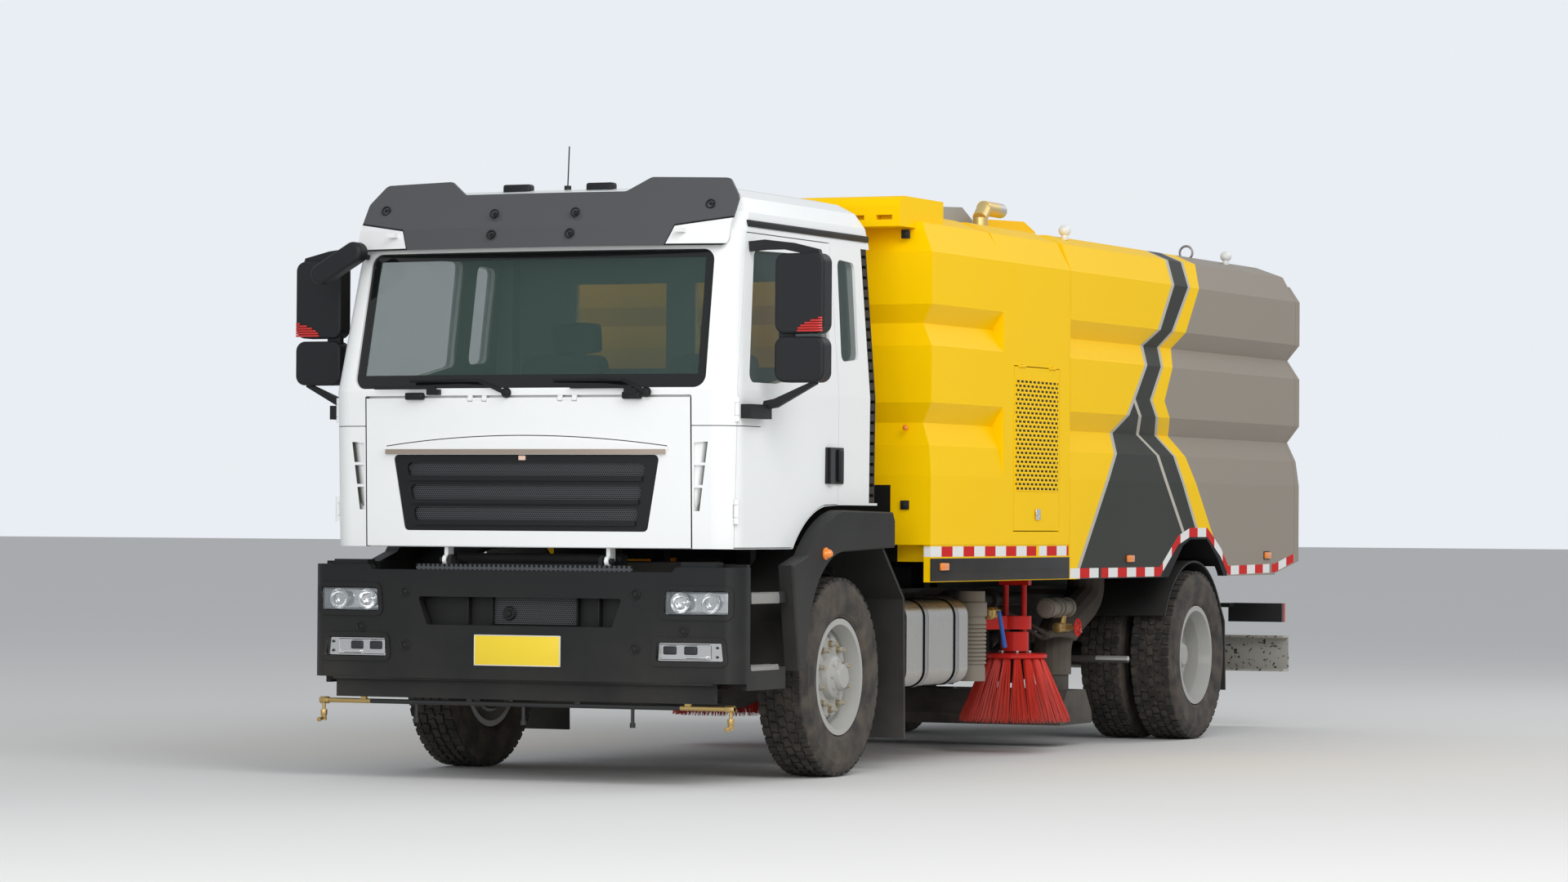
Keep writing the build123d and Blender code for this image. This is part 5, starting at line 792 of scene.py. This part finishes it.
# %% Screws, plate and strips
SCREWS = ((0.638, 0.94), (0.637, 0.673), (0.893, 0.762))
RING = ((0, 0.019), (0, 0.027), (0.005, 0.026), (0.006, 0.022), (0.004, 0.019))
marks = []
for spot in SCREWS:
    marks += [turned(RING, on_bumper(*spot), FORWARD, 32),
              bar(on_bumper(*spot, 0.002), on_bumper(*spot, -0.004), 0.014, 20, 0.002),
              bar(on_bumper(*spot), on_bumper(*spot, -0.009), 0.009, 6, 0.001)]
hand_over(marks, "bumper_screws_*", bumper_black, "front_bumper")
number_plate = block(at(-0.235, -1.428, 0.582), at(0.235, -1.421, 0.729), 0.003, 3)
hand_over(number_plate, "blank_number_plate", plate_yellow, "front_bumper")
rim = [block(at(-0.238, -1.429, low), at(0.238, -1.4225, low + 0.005), 0.001) for low in (0.579, 0.727)]
rim += [block(at(left, -1.429, 0.58), at(left + 0.005, -1.4225, 0.731), 0.001) for left in (-0.239, 0.234)]
hand_over(rim, "number_plate_rim", plate_edge, "front_bumper")


def cell(along, above, pitch, rise, shift):
    """A point's place in its cell of a pattern, with every second row shifted by a part of one."""
    row = above / rise
    shifted = along / pitch + ((row * 0.5).fraction() > 0.5) * shift
    return shifted.fraction() - 0.5, row.fraction() - 0.5


def pierced(name, pitch, radius, flatness, shift):
    """Black sheet with round holes, in rows that may be shifted."""
    finish = moulded(name, (0.075, 0.08, 0.085), 0.45, 200, 1.2, 0.15)
    across, behind, height = finish.place()
    u, v = cell(across, height - 0.0006, pitch, pitch * flatness, shift)
    v = v * flatness
    finish.wash((u * u + v * v) < (radius / pitch) ** 2, (0.002, 0.002, 0.002))
    return finish


strip_holes = pierced("strip_holes", 0.0265, 0.0082, 1, 0)
mesh_holes = pierced("mesh_holes", 0.0115, 0.0043, 0.866, 0.5)
strip = bowed_sheet(lambda x: bumper_face(x, 0.045), -0.6, 0.6, 1.0468, 1.0797, 0.004, 14)
hand_over(strip, "bumper_top_strip", strip_holes, "front_bumper")

# %% [markdown]
# ## Inside the air slot
# A mesh panel stands between plain side pieces, with the round cap of a towing eye.

# %% Slot panel
slot_mesh = bowed_sheet(lambda x: -1.345, -0.17, 0.3, 0.785, 0.918, 0.004, 2)
hand_over(slot_mesh, "slot_mesh", mesh_holes, "front_bumper")
CAP = ((0, 0), (0, 0.03), (0.01, 0.034), (0.014, 0.03), (0.014, 0.018), (0.022, 0.014), (0.024, 0))
fins = [block(at(x - 0.004, -1.372, 0.782), at(x + 0.004, -1.333, 0.92), 0.002)
        for x in (-0.305, -0.17, 0.3, 0.42)]
cap = turned(CAP, at(-0.08, -1.349, 0.838), FORWARD, 32)
hand_over([cap, *fins], "slot_fins_and_cap", bumper_black, "front_bumper")

# %% [markdown]
# ## Grille
# The openings look on to a fine staggered mesh, one bowed sheet behind the bars. A small lamp
# sits in the middle of the top rail, and a bright lip sits under the white strip. Its beige
# metal colour is a painted reflection of the warm ground.

# %% Mesh, lip and position lamp
def cab_face(across, height, inset):
    """Distance behind the front axle of the cab's bowed nose."""
    return -1.3789 - 0.0282 * (height - 1.2) + 0.0592 * across ** 2 + inset


grille_mesh = bowed_sheet(lambda x: cab_face(x, 1.45, 0.026), -0.655, 0.655, 1.285, 1.6, 0.003, 14)
hand_over(grille_mesh, "grille_mesh", mesh_holes, "grille", "flap")
# Painted reflection: the lip is chrome, and its beige colour stands for the warm ground it mirrors.
lip_reflection_metal = bare_metal("lip_reflection_metal", (0.5, 0.41, 0.34), most=0)
lip = bowed_sheet(lambda x: cab_face(x, 1.645, -0.016), -0.778, 0.778, 1.627, 1.652, 0.003, 16)
hand_over(lip, "bright_lip", lip_reflection_metal, "front_flap", "flap")
lamp = block(at(-0.019, -1.393, 1.597), at(0.019, -1.378, 1.621), 0.004, 3)
hand_over(lamp, "grille_position_lamp", pale_lens, "grille", "flap")

# %% [markdown]
# ## Wipers
# Each wiper is a bent arm from a round pivot, with the blade lying flat along the glass.

# %% Wipers
PIVOT = ((0, 0), (0, 0.026), (0.008, 0.026), (0.02, 0.018), (0.024, 0))
arms = []
for foot, elbow, tip in ((-0.081, -0.233, -0.637), (0.688, 0.562, 0.165)):
    bend = at(elbow, -1.405, 1.992)
    arms += [turned(PIVOT, at(foot, -1.403, 1.931), FORWARD, 28),
             bar(at(foot, -1.412, 1.931), bend, 0.012, 12, 0.002, 0.009),
             bar(bend, at((elbow + tip) / 2, -1.39, 1.998), 0.008, 10, 0.001, 0.005),
             block(at(tip, -1.388, 1.985), at(elbow - 0.02, -1.378, 1.999), 0.003),
             block(at(tip + 0.02, -1.399, 1.99), at(elbow - 0.06, -1.388, 1.996), 0.002)]
arms += [block(at(x - 0.05, -1.412, 1.898), at(x + 0.05, -1.378, 1.934), 0.008, 3) for x in (-0.6, 0.605)]
hand_over(arms, "wiper_arms", bumper_black, "wipers", "cab")

# %% [markdown]
# ## Visor screws and radiator
# Recessed cap screws hold the visor: one at each raised end and two pairs between. Below
# the flap the dark radiator pack closes the view over the bumper.

# %% Screws and radiator
screws = []
for across, behind, height in ((0.907, -1.138, 2.861), (0.225, -1.262, 2.826), (0.218, -1.31, 2.719)):
    foot = at(across, behind + 0.01, height - 0.003)
    screws += [turned(RING, at(across, behind, height), (0, -1, 0.35), 28),
               bar(foot, at(across, behind - 0.005, height + 0.002), 0.013, 6, 0.002)]
hand_over(screws, "visor_screws_*", bumper_black, "visor", "cab")
core = block(at(-0.4, -1.2, 0.74), at(0.4, -1.13, 1.12), 0.01)
tanks = [block(at(-0.46, -1.21, low), at(0.46, -1.12, high), 0.016, 3)
         for low, high in ((0.7, 0.76), (1.085, 1.135))]
hand_over([core, *tanks], "radiator", chassis_black, "chassis_frame")
print("front dressed")

# %% [markdown]
# ## Reflective tape
# Red and white blocks run along the skirts, follow the arch over the twin wheels and rise with
# the tail. They are masks: a band above the lower edge, and one that alternates along it.

# %% Tape on skirts and hopper
TAPE_RED, TAPE_WHITE = (0.62, 0.012, 0.01), (0.8, 0.8, 0.78)
BLOCK_LENGTH, BLOCK_HEIGHT = 0.155, 0.055
EDGE_BENDS = (2.95, 4.46, 4.78, 4.99, 5.31, 5.56, 5.7, 6.6, 7.08)
EDGE_HEIGHTS = (0.989, 0.989, 1.175, 1.222, 1.222, 1.1, 0.989, 0.998, 1.076)


def taped(finish, edge, low, start, end, gaps):
    """Alternating tape from start to end, low above an edge, with gaps left bare."""
    across, behind, height = finish.place()
    above = height - edge(behind)
    band = above.within(low, low + BLOCK_HEIGHT) * (across.size() > 1.19) * behind.within(start, end)
    for gap in gaps:
        band = band * ((behind - gap).size() > 0.022)
    white = ((behind - start) / (2 * BLOCK_LENGTH)).fraction() < 0.5
    finish.wash(band, TAPE_RED)
    finish.wash(band * white, TAPE_WHITE)
    return above, behind


def hopper_edge(behind):
    return broken_line(behind, EDGE_BENDS, EDGE_HEIGHTS)


taped(body_yellow, lambda behind: 1.121, 0, 0.895, 2.94, (2.46,))
above, behind = taped(hopper_paint, hopper_edge, 0.004, 2.96, 7.06, (3.44, 6.52))
hopper_paint.wash((above < 0.004) * behind.within(4.5, 5.68), UNDER_BLACK)
print("tape blocks are", BLOCK_LENGTH, "m long")

# %% [markdown]
# ## Side marker lamps
# Orange markers stand on the skirts, and an orange bead sits on each front flare.

# %% Markers
FLARE_BEAD = ((0, 0), (0, 0.031), (0.01, 0.031), (0.012, 0.026), (0.03, 0.021), (0.04, 0.012), (0.042, 0))
bead = turned(FLARE_BEAD, at(1.203, -0.393, 1.142), OUTWARD, 32)
hand_over(bead, "flare_marker_*", amber_lens, "front_mudguards")
MARKERS = ((1.061, 1.068, "chassis", "body_module"), (3.927, 1.1, "tank", "tank_bed"),
           (6.44, 1.11, "tank", "tank_bed"))
for number, (behind, height, body, slot) in enumerate(MARKERS, 1):
    cover = block(at(1.249, behind - 0.052, height - 0.02),
                  at(1.268, behind + 0.052, height + 0.02), 0.006, 3)
    hand_over(cover, f"skirt_marker_{number}_*", amber_lens, slot, body)
    base = block(at(1.244, behind - 0.06, height - 0.026), at(1.253, behind + 0.06, height + 0.026))
    hand_over(base, f"skirt_marker_base_{number}_*", mirror_black, slot, body)
skirt = block(at(1.245, 0.895, 0.992), at(1.2535, 2.94, 1.112), 0.002)
hand_over(skirt, "dark_skirt_*", chassis_black, "body_module")
NOSE_SPOTS = ((1.1, 2.826), (1.104, 1.394))
BUTTON = ((0, 0), (0, 0.012), (0.004, 0.012), (0.007, 0.006), (0.007, 0))
boxes = [block(at(x - 0.024, 0.872, z - 0.024), at(x + 0.024, 0.889, z + 0.024), 0.004)
         for x, z in NOSE_SPOTS]
buttons = [turned(BUTTON, at(x, 0.873, z), FORWARD, 20) for x, z in NOSE_SPOTS]
hand_over(boxes + buttons, "nose_boxes_*", mirror_black, "body_module")
NOSE_BEAD = ((0, 0), (0, 0.016), (0.008, 0.015), (0.012, 0.008), (0.013, 0))
bead = turned(NOSE_BEAD, at(1.103, 0.887, 1.803), FORWARD, 24)
hand_over(bead, "nose_marker_*", amber_lens, "body_module")

# %% [markdown]
# ## Doors
# The handle is a plate with its face inset and pushed in, and an upright grip across the hollow.

# %% Handles
plate = block(at(1.108, -0.2, 1.495), at(1.13, 0.016, 1.681), 0)
edit_some(plate, "polygons", lambda face: face.normal.x > 0.9)
bpy.ops.mesh.inset(thickness=0.02)
bpy.ops.transform.translate(value=(-0.005, 0, 0))
bpy.ops.object.mode_set(mode="OBJECT")
softened(0.006, 3)
grip = block(at(1.122, -0.065, 1.505), at(1.143, -0.012, 1.671), 0.009, 3)
hand_over([plate, grip], "door_handle_*", mirror_black, "door_*", "door_*")

# %% [markdown]
# ## Mirrors
# Silvered glass fills the face of each head that the driver sees, with a thin black lip left
# round it. The turn lamp is a ribbed red lens on the head's lower outer corner.

# %% Mirror glass and turn lamps
def crosswise(edge):
    """Whether an edge of the pane runs through its thickness."""
    near, far = [pane.data.vertices[corner].co for corner in edge.vertices]
    return abs(near.y - far.y) > 0.002


glass = [block(at(1.234, -0.9615, low + 0.02), at(1.461, -0.9575, high - 0.02), 0)
         for low, high in ((2.225, 2.62), (1.985, 2.21))]
for pane in glass:
    edit_some(pane, "edges", crosswise)
    bpy.ops.mesh.bevel(offset=0.034, segments=6)
    bpy.ops.object.mode_set(mode="OBJECT")
hand_over(glass, "mirror_glass_*", mirror_glass, "mirror_*", "door_*")
ridges = [block(at(1.34 + 0.018 * row * row / 4, -1.068, 2.233 + 0.0125 * row),
                at(1.474, -1.054, 2.243 + 0.0125 * row)) for row in range(6)]
hand_over(ridges, "turn_lamp_*", red_lens, "mirror_*", "door_*")

# %% [markdown]
# ## Steps, rain strip and punched doors
# The step treads are pressed strips with rows of teeth. A dark rain strip runs over the doors.
# The slots punched in the module's doors are dark spots on a thin sheet.

# %% Treads, strips and sheets
TOOTH_STEP, TEETH = (0, 0.0136, 0), 24
treads = []
for low, high in ((0.898, 0.944), (0.57, 0.588)):
    treads.append(block(at(1.095, -1.21, low), at(1.1745, -0.88, high)))
    tooth = block(at(1.15, -1.206, high - 0.004), at(1.172, -1.199, high + 0.01), 0.0015, 1)
    apply_all(tooth)
    second = copy_of(tooth, (-0.04, 0, 0))
    treads += [row_of(tooth, TOOTH_STEP, TEETH), row_of(second, TOOTH_STEP, TEETH)]
hand_over(treads, "step_treads_*", beam_steel, "cab_steps")
rain = block(at(1.034, -1.03, 2.757), at(1.066, 0.47, 2.79), 0.007, 3)
hand_over(rain, "rain_strip_*", mirror_black, "cab_shell", "cab")
punched = paint("punched_yellow", YELLOW, 1.4, 0.05)
across, behind, height = punched.place()
u, v = cell(behind, height - 1.481, 0.0618, 0.0246, 0.5)
punched.wash((u.size() < 0.3) * (v.size() < 0.27), (0.02, 0.017, 0.01))
sheet = block(at(1.2495, 2.105, 1.479), at(1.2535, 2.749, 2.097), 0.0015, 1)
hand_over(sheet, "punched_sheet_*", punched, "access_door_*", "access_door_*")
LOCK = ((0, 0), (0, 0.022), (0.006, 0.021), (0.008, 0.012), (0.006, 0.01), (0.006, 0))
lock = [turned(LOCK, at(1.2555, 2.434, 1.351), OUTWARD, 28),
        block(at(1.2555, 2.4, 1.322), at(1.26, 2.468, 1.38), 0.004)]
hand_over(lock, "access_door_lock_*", bright_chrome, "access_door_*", "access_door_*")
print("sides dressed")

# %% [markdown]
# ## Side brushes
# A steel disc carries flat bundles of stiff bristle, splayed outwards and worn to uneven tips.
# One bundle of four-sided strands is repeated round it. The strands' spread comes from sines, so
# that it looks loose and is the same each run.

# %% Bristles and disc
BRUSH_ACROSS, BRUSH_BEHIND, BUNDLES, STRANDS, DISC_NUTS = 0.9, 3, 17, 72, 6
brush_middle = at(BRUSH_ACROSS, BRUSH_BEHIND, 0)
strands = []
for number in range(STRANDS):
    row, spot = number % 3, (number // 3 - 11.5) / 11.5
    root = at(BRUSH_ACROSS + 0.14 + 0.012 * row, BRUSH_BEHIND + 0.016 * spot, 0.537)
    reach = 0.285 + 0.01 * row + 0.012 * sin(number * 2.4)
    angle = spot * 0.165 + 0.012 * sin(number * 5.1)
    tip = at(BRUSH_ACROSS + reach * cos(angle), BRUSH_BEHIND + reach * sin(angle),
             0.188 + 0.013 * sin(number * 1.7))
    strands.append(bar(root, tip, 0.0024, 4, 0, 0.0014))
bristles = ring_of(joined(strands), brush_middle, UPWARD, BUNDLES)
hand_over(bristles, "bristles_*", bristle_red, "brush_*", "brush_*", ("brush_*",), 20)
DISC = ((0.535, 0.03), (0.535, 0.176), (0.54, 0.185), (0.556, 0.185), (0.562, 0.178), (0.562, 0.12),
        (0.566, 0.112), (0.566, 0.03))
disc = turned(DISC, brush_middle, UPWARD, 64)
nut = bar(at(BRUSH_ACROSS + 0.09, BRUSH_BEHIND, 0.565), at(BRUSH_ACROSS + 0.09, BRUSH_BEHIND, 0.578),
          0.011, 6, 0.001)
nuts = ring_of(nut, brush_middle, UPWARD, DISC_NUTS)
hand_over(disc, "brush_disc_*", brush_red, "brush_*", "brush_*")
hand_over(nuts, "brush_nuts_*", beam_steel, "brush_*", "brush_*")
print("strands in a brush", BUNDLES * STRANDS)

# %% [markdown]
# ## Water and air fittings
# Behind the fuel tank a ribbed grey pipe comes down beside a ball valve with a blue lever. A
# clamped coupling and a red handwheel sit further back.

# %% Pipe, valve and handwheel
valve_blue = moulded("valve_blue", (0.02, 0.1, 0.42), 0.4, 200, 1, 0.2)
pipe_grey = moulded("pipe_grey", (0.21, 0.185, 0.15), 0.6, 120, 1.2, 0.4)
ribs = []
for foot in [0.52 + number * 0.022 for number in range(11)]:
    ribs += [(foot, 0.074), (foot + 0.006, 0.083), (foot + 0.016, 0.083)]
PIPE_FOOT = ((0.43, 0.06), (0.43, 0.078), (0.5, 0.078), (0.512, 0.074))
PIPE_TOP = ((0.78, 0.074), (0.79, 0.086), (0.86, 0.086), (0.87, 0.075), (0.925, 0.075), (0.925, 0.06))
pipe = turned([*PIPE_FOOT, *ribs, *PIPE_TOP], at(0.98, 2.14, 0), UPWARD, 40)
hand_over(pipe, "ribbed_down_pipe", pipe_grey, "water_pipes")
HOUSING = ((-0.03, 0), (-0.03, 0.026), (-0.018, 0.036), (0.018, 0.036), (0.03, 0.026), (0.03, 0))
brass = bars(((1, 2.33, 0.8), (1, 2.43, 0.8), 0.026, 20, 0.002),
             ((1, 2.43, 0.8), (1, 2.46, 0.8), 0.033, 6, 0.002),
             ((1, 2.3, 0.8), (1, 2.33, 0.8), 0.033, 6, 0.002),
             ((1.03, 2.38, 0.8), (1.052, 2.38, 0.8), 0.012, 12, 0.001))
brass.append(turned(HOUSING, at(1, 2.38, 0.8), BACKWARD, 28))
hand_over(brass, "ball_valve", spray_brass, "water_pipes")
lever = bar(at(1.052, 2.372, 0.812), at(1.06, 2.44, 0.61), 0.011, 8, 0.002, 0.014)
hand_over(lever, "valve_lever", valve_blue, "water_pipes")
CLAMP = ((-0.012, 0.048), (-0.012, 0.058), (0.012, 0.058), (0.012, 0.048))
clamps = [turned(CLAMP, at(0.95, behind, 0.815), BACKWARD, 36) for behind in (3.37, 3.5, 3.56, 3.69)]
coupling = bar(at(0.95, 3.34, 0.815), at(0.95, 3.72, 0.815), 0.048, 32, 0.003)
hand_over([coupling, *clamps], "clamped_coupling", pipe_grey, "water_pipes")
HAND_RIM, SPOKE = ((-0.007, 0.047), (0, 0.042), (0.007, 0.047), (0, 0.054)), 0.046
wheel = [turned(HAND_RIM, at(1.04, 3.64, 0.7), OUTWARD, 36)]
for angle in (0.4, 0.4 + pi / 3, 0.4 + 2 * pi / 3):
    along, above = SPOKE * cos(angle), SPOKE * sin(angle)
    wheel += bars(((1.04, 3.64 - along, 0.7 - above), (1.04, 3.64 + along, 0.7 + above), 0.005, 8))
hand_over(wheel, "valve_handwheel", brush_red, "water_pipes")
stem = bars(((0.94, 3.64, 0.7), (1.042, 3.64, 0.7), 0.012, 14, 0.001),
            ((0.94, 3.56, 0.7), (0.94, 3.74, 0.7), 0.03, 24, 0.003),
            ((0.94, 3.64, 0.7), (0.95, 3.64, 0.77), 0.02, 16))
hand_over(stem, "valve_body", spray_brass, "water_pipes")

# %% [markdown]
# ## Spray bar fittings
# At each end of the front spray bar an elbow and a hexagon join carry a turned jet.

# %% Jets
jets = bars(((1.13, -1.35, 0.34), (1.13, -1.35, 0.312), 0.017, 6, 0.001),
            ((1.13, -1.35, 0.312), (1.13, -1.35, 0.296), 0.011, 16, 0.001),
            ((1.13, -1.35, 0.3), (1.13, -1.392, 0.292), 0.009, 16, 0.001),
            ((1.13, -1.392, 0.292), (1.13, -1.404, 0.29), 0.012, 6, 0.001),
            ((1.1, -1.35, 0.388), (1.15, -1.35, 0.388), 0.018, 6, 0.001))
hand_over(jets, "spray_jets_*", spray_brass, "front_spray_bar")

# %% [markdown]
# ## Hoses behind the brush
# Hoses loop from the frame rail to the valves. Each is a chain of short bars along an arc, with
# balls at the bends so that it reads as one bent tube.

# %% Hoses
def hose(start, end, rise, radius, steps=9):
    """A bent tube that bulges upwards like a hose under its own stiffness."""
    spots = []
    for share in [step / steps for step in range(steps + 1)]:
        across, behind, height = [a + (b - a) * share for a, b in zip(start, end)]
        spots.append(at(across, behind, height + rise * sin(pi * share)))
    chain = [bar(near, far, radius, 12) for near, far in zip(spots, spots[1:])]
    return chain + [ball(spot, radius) for spot in spots[1:-1]]


HOSES = (((0.4, 3.18, 0.86), (0.93, 3.47, 0.65), 0.055, 0.012),
         ((0.4, 3.24, 0.83), (0.9, 3.42, 0.64), 0.05, 0.012),
         ((0.4, 3.3, 0.8), (0.9, 3.56, 0.66), 0.03, 0.014),
         ((0.9, 3.45, 0.65), (0.93, 3.88, 0.64), 0.02, 0.024))
black_hoses = [part for row in HOSES for part in hose(*row)]
hand_over(black_hoses, "hydraulic_hoses", hose_rubber, "water_pipes")
print("underside dressed")

# %% [markdown]
# ## Roof fittings
# Work lamps and ring eyes for lifting stand along the hopper's edges, and two low brackets and
# a whip aerial stand on the cab.

# %% Roof pieces
for number, behind in enumerate((3.34, 6.178), 1):
    lamp = [ball(at(1.06, behind, 2.985), 0.036, (1, 1, 0.9)),
            bar(at(1.06, behind, 2.93), at(1.06, behind, 2.962), 0.02, 16, 0.002)]
    hand_over(lamp, f"roof_lamp_{number}_*", roof_lens, "tank_bed", "tank")
EYE = ((-0.009, 0.04), (0, 0.034), (0.009, 0.04), (0, 0.049))
eye = turned(EYE, at(0.96, 5.715, 2.985), BACKWARD, 36)
hand_over(eye, "lifting_eye_*", beam_steel, "tank_bed", "tank")
brackets = [block(at(low, -0.93, 2.945), at(high, -0.87, 3), 0.012, 3)
            for low, high in ((-0.357, -0.203), (0.112, 0.262))]
aerial = bars(((-0.01, -0.885, 2.95), (-0.01, -0.885, 2.99), 0.018, 16, 0.003),
              ((-0.01, -0.885, 2.985), (-0.01, -0.87, 3.19), 0.0035, 8))
hand_over(brackets + aerial, "roof_brackets_and_aerial", mirror_black, "cab_shell", "cab")

# %% [markdown]
# ## Seats
# Two sprung seats show through the windscreen. Each pad of foam under tight cloth is a block,
# subdivided, drawn towards a ball a little to crown its faces, and smoothed.

# %% Padded seats
CROWN, LEAN = 0.16, -0.12


def pad(across, half, near, low, far, high, lean=0):
    """A crowned cushion between two corners, leant back about its lower edge."""
    low, high = at(across - half, near, low), at(across + half, far, high)
    cushion = block(low, high, 0)
    edit_all()
    bpy.ops.mesh.subdivide(number_cuts=5)
    middle = ((low[0] + high[0]) / 2, (low[1] + high[1]) / 2, low[2])
    bpy.ops.transform.rotate(value=lean, orient_axis="X", center_override=middle)
    bpy.ops.object.mode_set(mode="OBJECT")
    bpy.ops.object.origin_set(type="ORIGIN_GEOMETRY")
    bpy.ops.object.modifier_add(type="CAST")
    cushion.modifiers[-1].factor, cushion.modifiers[-1].use_radius_as_size = CROWN, True
    bpy.ops.object.modifier_add(type="SUBSURF")
    cushion.modifiers[-1].levels = cushion.modifiers[-1].render_levels = 2
    apply_all(cushion)
    bpy.ops.object.transform_apply()
    return cushion


for word, across in (("driver", 0.43), ("passenger", -0.43)):
    pads = {"squab": pad(across, 0.25, -0.545, 1.555, 0.01, 1.7),
            "back": pad(across, 0.235, -0.08, 1.64, 0.06, 2.17, LEAN),
            "head_rest": pad(across, 0.13, 0.03, 2.18, 0.13, 2.335, LEAN)}
    for kind, piece in pads.items():
        name = f"{word}_{kind}"
        hand_over(piece, name, seat_cloth, "seats", "cab", ("seats",) if name == "driver_squab" else (), 60)
    base = [block(at(across - 0.18, -0.43, 1.445), at(across + 0.18, -0.06, 1.56), 0.02)]
    base += bars(*[((across + post, 0.05, 2.12), (across + post, 0.075, 2.22), 0.006, 12)
                   for post in (-0.05, 0.05)])
    hand_over(base, f"{word}_seat_base", dash_dark, "seats", "cab")
print("seats padded")

# %% [markdown]
# ## Studio
# A wide pale floor, an even pale surround and three large soft lamps. The surround is brighter
# for the camera, also through glass, than as a light, so the paint keeps its colours.

# %% Floor, surround and lamps
bpy.ops.mesh.primitive_plane_add(size=400, location=(0, 60, 0))
floor = bpy.context.object
floor.name = "studio_floor"
floor_finish = Finish("studio_floor", (0.72, 0.71, 0.69), 0.9)
floor_finish.wash(floor_finish.noise(0.35) * 0.12, (0.5, 0.49, 0.47))
floor.data.materials.append(floor_finish.material)

LIGHT_LEVEL, SEEN_LEVEL = 0.62, 0.95
world = bpy.data.worlds.new("studio_surround")
world.use_nodes = True
bpy.context.scene.world = world
sky = world.node_tree
backdrop = sky.nodes["Background"]
backdrop.inputs["Color"].default_value = (0.86, 0.9, 0.95, 1)
ray = sky.nodes.new("ShaderNodeLightPath")
seen = sky.nodes.new("ShaderNodeMath")
seen.operation = "MAXIMUM"
level = sky.nodes.new("ShaderNodeMapRange")
level.inputs["To Min"].default_value = LIGHT_LEVEL
level.inputs["To Max"].default_value = SEEN_LEVEL
sky.links.new(ray.outputs["Is Camera Ray"], seen.inputs[0])
sky.links.new(ray.outputs["Is Transmission Ray"], seen.inputs[1])
sky.links.new(seen.outputs[0], level.inputs["Value"])
sky.links.new(level.outputs[0], backdrop.inputs["Strength"])

LAMPS = (((12, -11, 11), 1200), ((4, -20, 6), 1000), ((7, 9, 11), 420))
LAMP_WIDTH = 9
for number, (spot, power) in enumerate(LAMPS):
    bpy.ops.object.light_add(type="AREA", location=spot)
    lamp = bpy.context.object
    lamp.name = f"studio_lamp_{number}"
    lamp.data.size, lamp.data.energy = LAMP_WIDTH, power
    lamp.rotation_euler = (Vector((0, 0, 1)) - Vector(spot)).to_track_quat("-Z", "Y").to_euler()
bpy.context.scene.view_settings.view_transform = "Standard"
